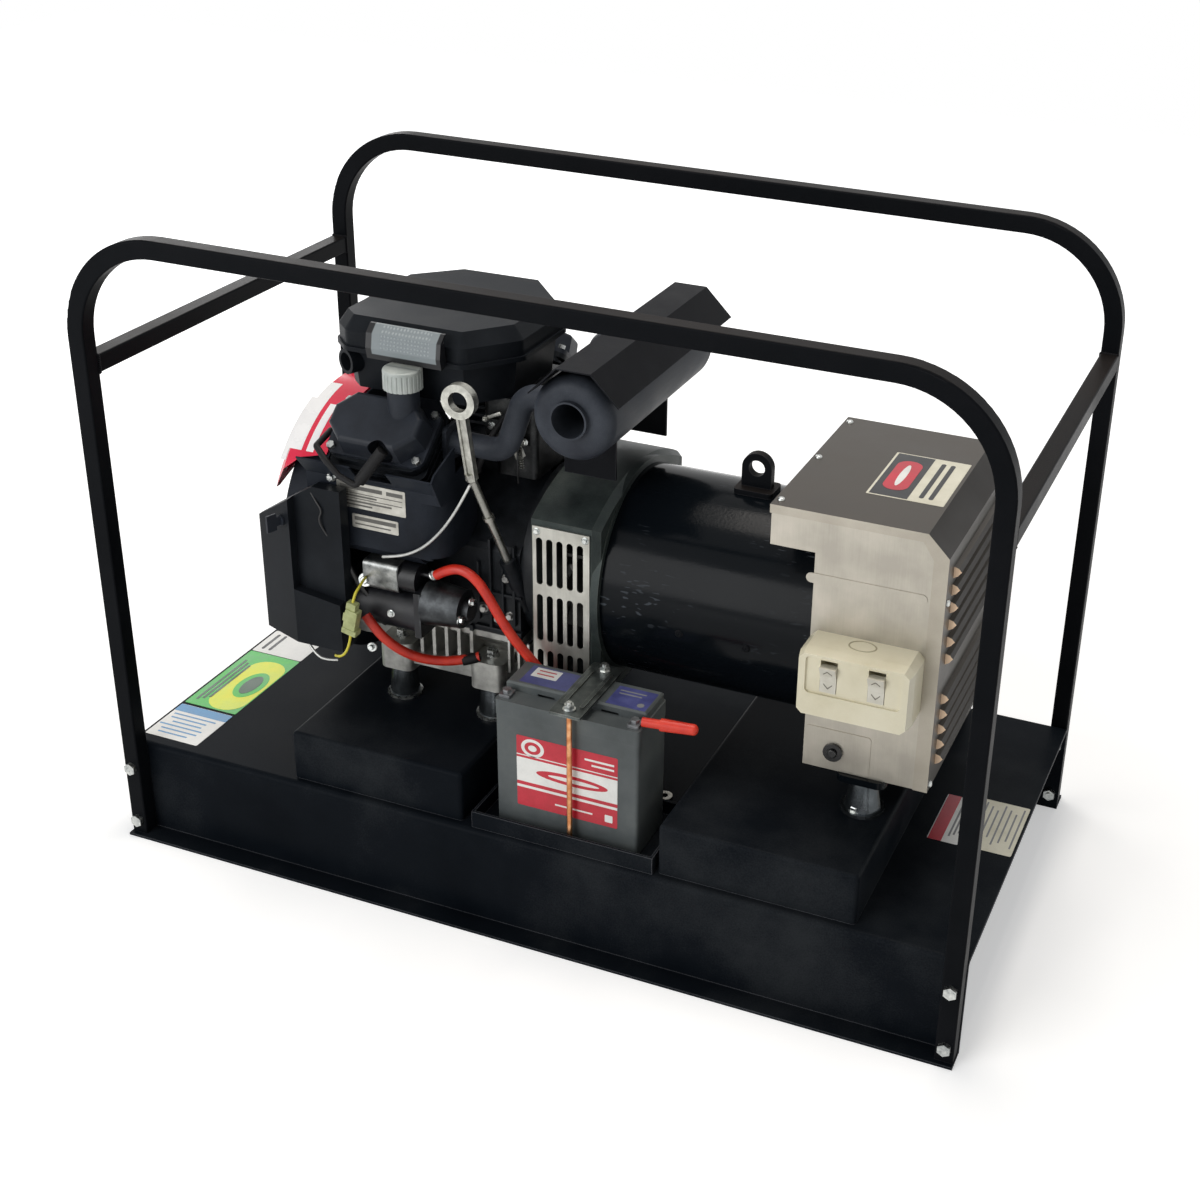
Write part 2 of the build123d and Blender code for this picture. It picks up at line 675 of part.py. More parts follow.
def make_shroud(x, side, name):
    """Pressed sheet under one bank: panel, rounded corner, side wall, lip and return."""
    wall_x = x + shroud_reach
    with BuildPart() as shroud:
        with BuildSketch(Plane.XY.offset(shroud_low)):
            with BuildLine():
                FilletPolyline(
                    (shroud_from, side * shroud_y),
                    (wall_x, side * shroud_y),
                    (wall_x, side * (shroud_y - 80)),
                    radius=shroud_turn,
                )
            trace(line_width=shroud_sheet)
        extrude(amount=120)
        # The wall's edges follow the barrel above it and the crankcase behind it.
        with BuildSketch(Plane.YZ.offset(shroud_from)):
            with BuildLine():
                Polyline(
                    (side * (shroud_y + 4), shroud_low + 12),
                    (side * (shroud_y + 4), shroud_bend - 6),
                    (side * (shroud_y - 20), shroud_bend - 8),
                    (side * (shroud_y - 24), shroud_bend + 10),
                    (side * (block_half + 8), shroud_bend + 16),
                    (side * (block_half - 12), shroud_bend + 8),
                    (side * (block_half - 19), shroud_bend - 4),
                    (side * (block_half - 19), shroud_low + 30),
                    (side * (block_half + 2), shroud_low + 12),
                    close=True,
                )
            make_face()
        extrude(amount=wall_x + 10 - shroud_from, mode=Mode.INTERSECT)
        with BuildSketch(Plane.YZ.offset(shroud_from)):
            with BuildLine():
                Polyline(
                    (side * (shroud_y + 18), shroud_tip),
                    (side * shroud_y, shroud_bend),
                    (side * shroud_y, shroud_low + 12),
                    (side * (shroud_y - 12), shroud_low),
                    (side * (block_half + running_gap), shroud_low),
                )
            trace(line_width=shroud_sheet)
        extrude(amount=wall_x - shroud_from)
        with BuildSketch(Plane.YZ.offset(wall_x - shroud_sheet / 2)):
            with BuildLine():
                Polyline(
                    (side * (shroud_y - 28), shroud_bend - 12),
                    (side * (shroud_y + 1), shroud_bend - 12),
                    (side * (shroud_y + 19), shroud_tip),
                    (side * (shroud_y + 12), shroud_tip + 7),
                    (side * (block_half + 26), shroud_tip + 22),
                    (side * (block_half + 26), shroud_bend + 10),
                    close=True,
                )
            make_face()
        extrude(amount=shroud_sheet)
        with BuildSketch(Plane.XY.offset(shroud_low - 5)):
            with Locations((wall_x - shroud_turn, side * (shroud_y - 30))):
                Rectangle(2 * shroud_turn, 2 * shroud_turn + 8, align=(Align.MIN, Align.CENTER))
            with Locations((wall_x - shroud_turn, side * (shroud_y - shroud_turn))):
                Circle(shroud_turn + shroud_sheet / 2, mode=Mode.SUBTRACT)
            with Locations((wall_x - shroud_turn - 40, side * (shroud_y - 75))):
                Rectangle(3 * shroud_turn + 14, 94, align=(Align.MIN, Align.CENTER), mode=Mode.SUBTRACT)
        extrude(amount=shroud_bend - 12 - shroud_low + 5, mode=Mode.SUBTRACT)
        with BuildSketch(Plane.XY.offset(shroud_low - 5)):
            with Locations((wall_x - shroud_turn, side * (shroud_y - 30))):
                Rectangle(2 * shroud_turn, 2 * shroud_turn + 8, align=(Align.MIN, Align.CENTER))
        extrude(amount=15, mode=Mode.SUBTRACT)
        # Notch for the spark-plug elbow.
        with BuildSketch(Plane.XZ.offset(-side * (shroud_y - 4))):
            with Locations((x, shroud_bend + 6)):
                Rectangle(plug_window, 40, align=standing)
        extrude(amount=-side * 40, mode=Mode.SUBTRACT)
    keep(shroud, name)


make_shroud(front_bank_x, -1, "front_shroud")
make_shroud(rear_bank_x, 1, "rear_shroud")

# ================================================================ blower end
crank_line = Axis((0, 0, crank_z), (1, 0, 0))
plate_radius = fan_radius - hood_wall
plate_sheet = 6.0
guard_x = hood_front + 7.0
guard_sheet = 3.0
with BuildPart() as fan_housing:
    with BuildSketch(Plane.YZ.offset(block_from - plate_sheet)):
        with Locations((0, crank_z)):
            Circle(plate_radius)
            Circle(shaft / 2 + 12, mode=Mode.SUBTRACT)
    extrude(amount=plate_sheet)
    with BuildSketch(Plane.YZ.offset(guard_x - guard_sheet)):
        with Locations((0, crank_z)):
            Circle(housing_radius)
            Circle(housing_radius - hood_wall, mode=Mode.SUBTRACT)
    extrude(amount=block_from - plate_sheet - guard_x + guard_sheet)
    # Radial guard over the fan, with two rings tying its bars together.
    with BuildSketch(Plane.YZ.offset(guard_x - guard_sheet)):
        with Locations((0, crank_z)):
            Circle(housing_radius - 1)
            Circle(housing_radius - 22, mode=Mode.SUBTRACT)
            Circle(40)
        with Locations((0, crank_z)):
            with PolarLocations(84, 24):
                Rectangle(96, 4)
    extrude(amount=guard_sheet)
keep(fan_housing, "fan_housing")

with BuildPart() as fan_cover:
    with BuildSketch(Plane.XZ):
        with BuildLine():
            Polyline(
                (hood_from, crank_z + fan_radius),
                (hood_to + 8, crank_z + fan_radius),
                (hood_to, crank_z + fan_radius - 8),
                (hood_to, crank_z + fan_radius - 14),
                (hood_front - hood_wall, crank_z + fan_radius - 24),
                (hood_front - hood_wall, crank_z + intake_radius),
                (hood_front, crank_z + intake_radius),
                (hood_front, crank_z + fan_radius - 22),
                (hood_to + 5, crank_z + fan_radius - 12),
                (hood_to + 10, crank_z + plate_radius),
                (hood_from, crank_z + plate_radius),
                close=True,
            )
        make_face()
    revolve(axis=crank_line)
    # The hood ends above the control box in a long arched edge.
    with BuildSketch(Plane.XZ):
        with BuildLine():
            Polyline(
                (hood_from + 10, crank_z + 117),
                (hood_from, crank_z + 117),
                (hood_to + 24, crank_z + 111),
                (hood_to + 8, crank_z + 98),
                (hood_to, crank_z + 76),
                (hood_to - 10, crank_z + 60),
                (hood_to - 10, crank_z - fan_radius - 10),
                (hood_from + 10, crank_z - fan_radius - 10),
                close=True,
            )
        make_face()
    extrude(amount=2 * fan_radius, both=True, mode=Mode.SUBTRACT)
keep(fan_cover, "fan_cover")

flywheel_from = guard_x + 5.0
flywheel_to = block_from - plate_sheet - 4.0
with BuildPart() as flywheel:
    with BuildSketch(Plane.YZ.offset(flywheel_from + 12)):
        with Locations((0, crank_z)):
            Circle(flywheel_radius)
            Circle(shaft / 2 - 5, mode=Mode.SUBTRACT)
    extrude(amount=flywheel_to - flywheel_from - 12)
    with BuildSketch(Plane.YZ.offset(flywheel_from)):
        with Locations((0, crank_z)):
            with PolarLocations(92, 14):
                with Locations(Location((0, 0), 28)):
                    Rectangle(50, 4)
            Circle(48)
            Circle(shaft / 2 - 5, mode=Mode.SUBTRACT)
    extrude(amount=12)
keep(flywheel, "flywheel")

with BuildPart() as crankshaft:
    with BuildSketch(Plane.YZ.offset(flywheel_to)):
        with Locations((0, crank_z)):
            Circle(shaft / 2)
    extrude(amount=bell_from - flywheel_to)
    with BuildSketch(Plane.YZ.offset(flywheel_from - 3)):
        with Locations((0, crank_z)):
            Circle(shaft / 2 - 5)
    extrude(amount=flywheel_to - flywheel_from + 3)
keep(crankshaft, "crankshaft")

# ================================================================ air cleaner
latch_y = cleaner_y - cleaner_half_y + 2.0
latch_x = -174.0
latch_half = 44.0
latch_pivot_z = 606.0
latch_pin = 2.0
stub_plane = Plane(origin=(-250, -112, 586), z_dir=(-0.5, -1, 0))
lid_points = (
    (-cleaner_half_x, 2 - cleaner_half_y + 22),
    (24 - cleaner_half_x, 2 - cleaner_half_y),
    (cleaner_half_x - 44, 2 - cleaner_half_y),
    (cleaner_half_x, 2 - cleaner_half_y + 54),
    (cleaner_half_x, cleaner_half_y - 64),
    (cleaner_half_x - 52, cleaner_half_y - 4),
    (52 - cleaner_half_x, cleaner_half_y - 6),
    (-cleaner_half_x, cleaner_half_y - 58),
)


def lid_outline(inset):
    """Outline of the cleaner's lid with softened corners, drawn inset from its edge."""
    with BuildSketch(Plane.XY) as outline:
        with BuildLine():
            Polyline(*[(cleaner_x + x, cleaner_y + y) for x, y in lid_points], close=True)
        make_face()
        fillet(outline.vertices(), cleaner_corner)
        if inset:
            offset(amount=-inset, mode=Mode.REPLACE)
    return outline.sketch_local


with BuildPart() as air_cleaner_base:
    with BuildSketch(Plane.XY.offset(cleaner_bottom)):
        add(lid_outline(16))
    extrude(amount=cleaner_split - cleaner_bottom - 0.4, taper=-7)
    # Warm-air stub at the left front corner.
    with BuildSketch(stub_plane):
        Circle(13.8)
        Circle(10, mode=Mode.SUBTRACT)
    extrude(amount=12)
    with BuildSketch(stub_plane):
        Circle(13.8)
    extrude(amount=-40)
keep(air_cleaner_base, "air_cleaner_base")

with BuildPart() as air_cleaner_cover:
    with BuildSketch(Plane.XY.offset(cleaner_split)):
        add(lid_outline(0))
    extrude(amount=5)
    with BuildSketch(Plane.XY.offset(cleaner_split + 5)):
        add(lid_outline(2.5))
    extrude(amount=17)
    with BuildSketch(Plane.XY.offset(cleaner_split + 22)):
        add(lid_outline(2.5))
    extrude(amount=cleaner_top - cleaner_split - 22, taper=36)
    # Lugs for the latch's pins on the front face.
    for end in (-1, 1):
        with BuildSketch(Plane.YZ.offset(latch_x + end * (latch_half - 6) - 3)):
            with Locations((latch_y - 5, latch_pivot_z)):
                Circle(4.5)
            with Locations((latch_y, latch_pivot_z)):
                Rectangle(10, 9)
        extrude(amount=6)
    with BuildSketch(Plane.YZ.offset(latch_x - latch_half)):
        with Locations((latch_y - 5, latch_pivot_z)):
            Circle(latch_pin + running_gap)
    extrude(amount=2 * latch_half, mode=Mode.SUBTRACT)
keep(air_cleaner_cover, "air_cleaner_cover")

with BuildPart() as air_cleaner_latch:
    with BuildSketch(Plane.YZ.offset(latch_x - latch_half)):
        with BuildLine():
            Polyline(
                (latch_y - 11.5, latch_pivot_z - 4),
                (latch_y - 14, latch_pivot_z + 8),
                (latch_y - 11, latch_pivot_z + 24),
                (latch_y - 2, latch_pivot_z + 32),
                (latch_y + 1, latch_pivot_z + 32),
                (latch_y - 8.5, latch_pivot_z + 22),
                (latch_y - 11, latch_pivot_z + 8),
                (latch_y - 10.2, latch_pivot_z - 4),
                close=True,
            )
        make_face()
    extrude(amount=2 * latch_half)
    for end in (-1, 1):
        with BuildSketch(Plane.YZ.offset(latch_x + end * latch_half - (3 if end > 0 else 0))):
            with BuildLine():
                Polyline(
                    (latch_y - 11, latch_pivot_z - 4),
                    (latch_y - 4, latch_pivot_z - 4),
                    (latch_y - 1, latch_pivot_z + 4),
                    (latch_y - 4, latch_pivot_z + 24),
                    (latch_y - 10, latch_pivot_z + 24),
                    (latch_y - 13, latch_pivot_z + 8),
                    close=True,
                )
            make_face()
        extrude(amount=3)
        with BuildSketch(Plane.YZ.offset(latch_x + end * (latch_half - 7) - 6)):
            with Locations((latch_y - 5, latch_pivot_z)):
                Circle(latch_pin)
        extrude(amount=12)
keep(air_cleaner_latch, "air_cleaner_latch")

# ================================================================ carburettor and choke
carb_x = -86.0
carb_half = 32.0
carb_front = -76.0
carb_back = 40.0
carb_low = 460.0
choke_z = 536.0
with BuildPart() as carburettor:
    with BuildSketch(Plane.XY.offset(carb_low)):
        with Locations((carb_x, (carb_front + carb_back) / 2)):
            RectangleRounded(2 * carb_half - 14, carb_back - carb_front - 30, 6)
    extrude(amount=46)
    with BuildSketch(Plane.XY.offset(carb_low + 46)):
        with Locations((carb_x, (carb_front + carb_back) / 2)):
            RectangleRounded(2 * carb_half, carb_back - carb_front, 8)
    extrude(amount=cleaner_bottom - carb_low - 46)
    # Inlet elbow carries the mixture down between the banks.
    with BuildSketch(Plane.XY.offset(crank_z + upper_deck.Z - 22)):
        with Locations((carb_x, 0)):
            RectangleRounded(44, 28, 6)
    extrude(amount=carb_low - crank_z - upper_deck.Z + 22)
    with BuildSketch(Plane.XZ.offset(-carb_front)):
        with Locations((carb_x + 6, choke_z)):
            Circle(6)
        with Locations((carb_x - 16, choke_z - 12)):
            RectangleRounded(22, 16, 2)
    extrude(amount=5)
keep(carburettor, "carburettor")

with BuildPart() as choke_lever:
    with BuildSketch(Plane.XZ.offset(-carb_front + 5.3)):
        with Locations((carb_x + 6, choke_z)):
            Circle(5)
        with BuildLine():
            Polyline(
                (carb_x + 3, choke_z), (carb_x + 9, choke_z), (carb_x + 14, choke_z + 14), (carb_x + 9, choke_z + 16),
                close=True,
            )
        make_face()
    extrude(amount=2)
keep(choke_lever, "choke_lever")

# Spark-plug elbows: a stout boot leans out of the hollow in each valve cover, its cable behind.
with BuildPart() as spark_plug_caps:
    for bank_x, side in ((front_bank_x, -1), (rear_bank_x, 1)):
        start = Vector(bank_x + 20, side * 180, port_z + 9)
        bend = start + Vector(-26, side * 7, -37)
        along = (bend - start).normalized()
        with BuildSketch(Plane(origin=start, z_dir=along)):
            Circle(6.5)
        extrude(amount=(bend - start).length)
        with BuildLine() as cable_route:
            FilletPolyline(
                bend - along * 4,
                bend + along * 7,
                bend + Vector(-24, side * 1, 2),
                bend + Vector(-41, side * -2, 15),
                bend + Vector(-60, side * -14, 24),
                bend + Vector(-64, side * -50, 28),
                radius=5,
            )
        with BuildSketch(Plane(origin=bend - along * 4, z_dir=along)):
            Circle(3.5)
        sweep(path=cable_route.line)
keep(spark_plug_caps, "spark_plug_caps")

# ================================================================ starter
starter_from = -236.0
starter_y = -146.0
starter_z = 318.0
solenoid_y = -150.0
solenoid_z = 360.0
with BuildPart() as starter_motor:
    with BuildSketch(Plane.YZ.offset(starter_from)):
        with Locations((starter_y, starter_z)):
            Circle(24)
    extrude(amount=78)
    fillet(starter_motor.faces().sort_by(Axis.X)[0].edges(), 4)
    with BuildSketch(Plane.YZ.offset(-158)):
        with Locations((starter_y - 24, starter_z + 6)):
            Rectangle(-starter_y + 24 - block_half, 54, align=(Align.MIN, Align.CENTER))
    extrude(amount=8)
    with BuildSketch(Plane.YZ.offset(-150)):
        with Locations((starter_y - 2, starter_z + 15)):
            Circle(26)
    extrude(amount=44, taper=6)
    with BuildSketch(Plane.YZ.offset(-106)):
        with Locations((starter_y - 2, starter_z + 15)):
            Circle(12)
    extrude(amount=8)
keep(starter_motor, "starter_motor")

with BuildPart() as starter_solenoid:
    with BuildSketch(Plane.YZ.offset(-222)):
        with Locations((solenoid_y, solenoid_z)):
            RectangleRounded(32, 34, 6)
    extrude(amount=44)
    with BuildSketch(Plane.YZ.offset(-178)):
        with Locations((solenoid_y, solenoid_z)):
            Circle(17)
    extrude(amount=19.9)
    with BuildSketch(Plane.YZ.offset(-158.1)):
        with Locations((solenoid_y, solenoid_z + 6)):
            Circle(3)
    extrude(amount=14)
keep(starter_solenoid, "starter_solenoid")

# ================================================================ control box and key
panel_front = -194.0
panel_back = -167.0
panel_low = 272.0
panel_top = 461.0
panel_right = -236.0
panel_corner = -294.0
panel_left = -345.0
panel_left_y = -175.0
panel_recess = 12.0
panel_step = 338.0
key_z = panel_top - 43.0
with BuildPart() as control_box:
    with BuildSketch(Plane.XY.offset(panel_low)):
        with BuildLine():
            Polyline(
                (panel_right, panel_back),
                (panel_right, panel_front),
                (panel_corner, panel_front),
                (panel_left, panel_left_y),
                (panel_left, panel_back),
                close=True,
            )
        make_face()
    extrude(amount=panel_top - panel_low)
    with BuildSketch(Plane.XZ.offset(-panel_back)):
        with BuildLine():
            Polyline(
                (panel_left - 5, 408),
                (panel_corner, 446),
                (panel_corner + 24, panel_top),
                (panel_corner + 24, panel_top + 20),
                (panel_left - 5, panel_top + 20),
                close=True,
            )
        make_face()
    extrude(amount=60, both=True, mode=Mode.SUBTRACT)
    with BuildSketch(Plane.XZ.offset(-panel_front)):
        with BuildLine():
            Polyline(
                (panel_corner, panel_step),
                (panel_right, panel_step - 8),
                (panel_right, panel_top),
                (panel_corner, panel_top),
                close=True,
            )
        make_face()
    extrude(amount=-panel_recess, mode=Mode.SUBTRACT)
    # Two arms bolt the box to the side of the crankcase.
    with BuildSketch(Plane.YZ.offset(panel_right - 26)):
        with Locations((panel_back, panel_low + 28), (panel_back, panel_low + 78)):
            Rectangle(-panel_back - block_half, 12, align=(Align.MIN, Align.CENTER))
    extrude(amount=18)
keep(control_box, "control_box")

panel_normal = Vector(panel_left_y - panel_front, panel_left - panel_corner, 0).normalized() * 1.0
key_seat = Vector(panel_corner - 12, panel_front + 12 * (panel_left_y - panel_front) / (panel_corner - panel_left), key_z)
panel_out = Vector(-(panel_left_y - panel_front), panel_left - panel_corner, 0).normalized()
with BuildPart() as ignition_key:
    with BuildSketch(Plane(origin=key_seat + panel_out * 0.3, x_dir=(0, 0, 1), z_dir=panel_out)):
        Circle(6)
    extrude(amount=2)
    with BuildSketch(Plane(origin=key_seat + panel_out * 2.3, x_dir=(0, 0, 1), z_dir=panel_out)):
        Rectangle(10, 3)
    extrude(amount=5)
    with BuildSketch(Plane(origin=key_seat + panel_out * 7.3, x_dir=(0, 0, 1), z_dir=panel_out)):
        RectangleRounded(20, 3, 1.2)
    extrude(amount=12)
keep(ignition_key, "ignition_key")

# ================================================================ exhaust
collar = 5.0
collar_y = 96.0
outlet_x = muffler_x
outlet_z = muffler_z + 2.0
with BuildPart() as muffler:
    with BuildSketch(Plane.XZ.offset(muffler_half)):
        with Locations((muffler_x, muffler_z)):
            Circle(muffler_radius)
    extrude(amount=-2 * muffler_half)
    fillet(muffler.edges().filter_by(GeomType.CIRCLE), 14)
    # Two collars that take the pipes from the heads.
    with BuildSketch(Plane.YZ.offset(muffler_x - muffler_radius - collar)):
        with Locations((-collar_y, muffler_z), (collar_y, muffler_z)):
            Circle(16)
    extrude(amount=collar + 12)
    with BuildSketch(Plane.XZ.offset(muffler_half + 6)):
        with Locations((outlet_x, outlet_z)):
            Circle(outlet_radius + muffler_wall)
    extrude(amount=-20)
    with BuildSketch(Plane.XZ.offset(muffler_half + 6)):
        with Locations((outlet_x, outlet_z)):
            Circle(outlet_radius)
    extrude(amount=-60, mode=Mode.SUBTRACT)
keep(muffler, "muffler")

with BuildPart() as heat_shield:
    with BuildSketch(Plane.XZ.offset(shield_half)):
        with BuildLine():
            Polyline(
                (shield_x - shield_flat - shield_slope, shield_top - shield_slope),
                (shield_x - shield_flat, shield_top),
                (shield_x + shield_flat, shield_top),
                (shield_x + shield_flat + shield_slope, shield_top - shield_slope),
            )
        trace(line_width=shield_sheet)
    extrude(amount=-2 * shield_half)
    with BuildSketch(Plane.XY.offset(muffler_z + muffler_radius - 4)):
        with Locations((muffler_x, -90), (muffler_x, 90)):
            Circle(6)
    extrude(amount=shield_top - muffler_z - muffler_radius + 4)
    with BuildSketch(Plane.XZ.offset(shield_half)):
        with Locations((muffler_x, muffler_z)):
            Circle(muffler_radius)
    extrude(amount=-2 * shield_half, mode=Mode.SUBTRACT)
    with BuildSketch(Plane.XY.offset(shield_top + shield_sheet / 2)):
        with Locations((muffler_x, -90), (muffler_x, 90)):
            Circle(9)
    extrude(amount=20, mode=Mode.SUBTRACT)
keep(heat_shield, "heat_shield")

pipe_radius = 13.0
pipe_turn = -74.0
with BuildPart() as exhaust_pipes:
    for bank_x, side in ((front_bank_x, -1), (rear_bank_x, 1)):
        port_x = bank_x + cover_length / 2 + 0.4
        with BuildLine() as pipe_route:
            FilletPolyline(
                (port_x, side * port_y, port_z),
                (pipe_turn, side * port_y, port_z),
                (pipe_turn + 18, side * collar_y, muffler_z),
                (muffler_x - muffler_radius - collar, side * collar_y, muffler_z),
                radius=20,
            )
        with BuildSketch(Plane(origin=(port_x, side * port_y, port_z), z_dir=(1, 0, 0))):
            Circle(pipe_radius)
        sweep(path=pipe_route.line)
        with BuildSketch(Plane(origin=(port_x, side * port_y, port_z), z_dir=(1, 0, 0))):
            RectangleRounded(40, 34, 6)
        extrude(amount=5)
keep(exhaust_pipes, "exhaust_pipes")

with BuildPart() as muffler_bracket:
    for y in (-70, 67):
        with BuildSketch(Plane.XZ.offset(-y)):
            with Locations((muffler_x - 10, muffler_z - muffler_radius - 14)):
                Rectangle(60, 60)
            with Locations((muffler_x, muffler_z)):
                Circle(muffler_radius + 0.1, mode=Mode.SUBTRACT)
        extrude(amount=3)
    with BuildSketch(Plane.YZ.offset(-60)):
        with BuildLine():
            ThreePointArc((-bell_half, bell_shoulder), (0, bell_top), (bell_half, bell_shoulder))
            Polyline(
                (bell_half, bell_shoulder), (bell_half, bell_bottom), (-bell_half, bell_bottom), (-bell_half, bell_shoulder)
            )
        make_face()
    extrude(amount=110, mode=Mode.SUBTRACT)
keep(muffler_bracket, "muffler_bracket")


# ================================================================ adapter bell and vents
def bell_outline(inset):
    """Section across the bell: arched top, straight sides, cut lower corners."""
    with BuildSketch(Plane.XY) as outline:
        with BuildLine():
            ThreePointArc(
                (-bell_half + inset, bell_shoulder - inset),
                (0, bell_top - inset),
                (bell_half - inset, bell_shoulder - inset),
            )
            Polyline(
                (bell_half - inset, bell_shoulder - inset),
                (bell_half - inset, bell_bottom + 26 + inset),
                (bell_half - 26 - inset, bell_bottom + inset),
                (-bell_half + 26 + inset, bell_bottom + inset),
                (-bell_half + inset, bell_bottom + 26 + inset),
                (-bell_half + inset, bell_shoulder - inset),
            )
        make_face()
    return outline.sketch_local


row_edges = ((231.0, 287.0), (298.0, 355.0), (367.0, 423.0))
grille_middle = (grille_from + grille_to) / 2
with BuildPart() as adapter_bell:
    with BuildSketch(Plane.YZ.offset(bell_from)):
        add(bell_outline(0))
    extrude(amount=bell_to - bell_from)
    # Bevelled shoulder and the round flange that meets the stator.
    with BuildSketch(Plane.YZ.offset(bell_to)):
        add(bell_outline(0))
    extrude(amount=stator_from - bell_to - 1, taper=38)
    with BuildSketch(Plane.YZ.offset(bell_to)):
        with Locations((0, crank_z)):
            Circle(stator_radius + 7)
    extrude(amount=stator_from - bell_to)
    with BuildSketch(Plane.YZ.offset(bell_from + bell_wall)):
        add(bell_outline(bell_wall))
    extrude(amount=bell_to - bell_from - bell_wall, mode=Mode.SUBTRACT)
    with BuildSketch(Plane.YZ.offset(bell_from)):
        with Locations((0, crank_z)):
            Circle(42)
    extrude(amount=bell_wall, mode=Mode.SUBTRACT)
    with BuildSketch(Plane.YZ.offset(bell_to)):
        with Locations((0, crank_z)):
            Circle(stator_radius - stator_wall)
    extrude(amount=stator_from - bell_to, mode=Mode.SUBTRACT)
    with BuildSketch(Plane.XZ):
        with Locations((grille_middle - 1, (row_edges[0][0] + row_edges[2][1]) / 2)):
            Rectangle(4 * slot_pitch + slot_width + 1, row_edges[2][1] - row_edges[0][0] + 4)
    extrude(amount=2 * bell_half, both=True, mode=Mode.SUBTRACT)
keep(adapter_bell, "adapter_bell")

with BuildPart() as vent_grilles:
    for side in (-1, 1):
        with BuildSketch(Plane.XZ.offset(-side * bell_half)):
            with Locations((grille_middle, (grille_bottom + grille_top) / 2)):
                Rectangle(grille_to - grille_from, grille_top - grille_bottom)
            for low, high in row_edges:
                with Locations(*[(grille_middle - 1.5 + (column - 2) * slot_pitch, (low + high) / 2) for column in range(5)]):
                    SlotOverall(high - low, slot_width, rotation=90, mode=Mode.SUBTRACT)
        extrude(amount=-side * grille_sheet)
keep(vent_grilles, "vent_grilles")

# ================================================================ alternator
foot_from = 318.0
foot_to = 372.0
core_from = 100.0
core_to = 320.0
rotor_gap = 1.5
with BuildPart() as stator_housing:
    with BuildSketch(Plane.YZ.offset(stator_from)):
        with Locations((0, crank_z)):
            Circle(stator_radius)
            Circle(stator_radius - stator_wall, mode=Mode.SUBTRACT)
    extrude(amount=stator_to - stator_from)
    with BuildSketch(Plane.YZ.offset(core_from)):
        with Locations((0, crank_z)):
            Circle(stator_radius - stator_wall)
            Circle(rotor_radius + rotor_gap, mode=Mode.SUBTRACT)
    extrude(amount=core_to - core_from)
    with BuildSketch(Plane.YZ.offset(stator_to - 10)):
        with Locations((0, crank_z)):
            Circle(stator_radius - stator_wall)
            Circle(18 + running_gap, mode=Mode.SUBTRACT)
    extrude(amount=10)
    # Cast foot that stands on the two rear mounts.
    with BuildSketch(Plane.XY.offset(foot_height)):
        with Locations(((foot_from + foot_to) / 2, 0)):
            RectangleRounded(foot_to - foot_from, 2 * alternator_mount_y + 44, 10)
    extrude(amount=box_bottom - foot_height)
    with BuildSketch(Plane.XY.offset(box_bottom)):
        with Locations(((foot_from + foot_to) / 2, 0)):
            Rectangle(30, stator_radius)
    extrude(amount=18)
    with BuildSketch(Plane.YZ.offset(core_to)):
        with Locations((0, crank_z)):
            Circle(stator_radius - stator_wall)
    extrude(amount=stator_to - 10 - core_to, mode=Mode.SUBTRACT)
    with BuildSketch(Plane.XY.offset(foot_height)):
        with Locations(*alternator_mount_spots):
            Circle((bolt + bolt_play) / 2)
    extrude(amount=box_bottom - foot_height, mode=Mode.SUBTRACT)
keep(stator_housing, "stator_housing")

with BuildPart() as rotor:
    with BuildSketch(Plane.YZ.offset(bell_from)):
        with Locations((0, crank_z)):
            Circle(18)
    extrude(amount=stator_to - bell_from - 2)
    with BuildSketch(Plane.YZ.offset(core_from + 6)):
        with Locations((0, crank_z)):
            Circle(rotor_radius)
            with PolarLocations(rotor_radius, 4):
                Rectangle(34, 18, mode=Mode.SUBTRACT)
    extrude(amount=core_to - core_from - 12)
    # Blower wheel behind the vents.
    with BuildSketch(Plane.YZ.offset(14)):
        with Locations((0, crank_z)):
            Circle(blower_radius)
    extrude(amount=4)
    with BuildSketch(Plane.YZ.offset(-20)):
        with Locations((0, crank_z)):
            Circle(34)
            with PolarLocations(64, 12):
                with Locations(Location((0, 0), 18)):
                    Rectangle(58, 3.5)
    extrude(amount=34)
keep(rotor, "rotor")

eye_x = 172.0
eye_radius = 17.0
eye_hole = 9.0
eye_top = 513.0
with BuildPart() as lifting_eye:
    with BuildSketch(Plane.XZ):
        with Locations((eye_x, eye_top - eye_radius)):
            Circle(eye_radius)
        with Locations((eye_x, crank_z + stator_radius)):
            Rectangle(2 * eye_radius, eye_top - eye_radius - crank_z - stator_radius, align=standing)
        with Locations((eye_x, eye_top - eye_radius)):
            Circle(eye_hole, mode=Mode.SUBTRACT)
    extrude(amount=5, both=True)
    with BuildSketch(Plane.XY.offset(crank_z + stator_radius - 8)):
        with Locations((eye_x, 0)):
            RectangleRounded(44, 34, 5)
    extrude(amount=13)
    with BuildSketch(Plane.YZ.offset(eye_x - 30)):
        with Locations((0, crank_z)):
            Circle(stator_radius + running_gap)
    extrude(amount=60, mode=Mode.SUBTRACT)
keep(lifting_eye, "lifting_eye")


# ================================================================ terminal box
def box_profile(grow):
    """Side outline of the box: a shelf over the alternator and a bevelled back corner."""
    return (
        (box_from, box_bottom),
        (box_to + grow, box_bottom),
        (box_to + grow, box_top - box_bevel + grow * 0.41),
        (box_to - box_bevel + grow * 0.41, box_top + grow),
        (box_shelf_from - grow, box_top + grow),
        (box_shelf_from - grow, box_shelf_bottom),
        (box_from, box_shelf_bottom),
    )


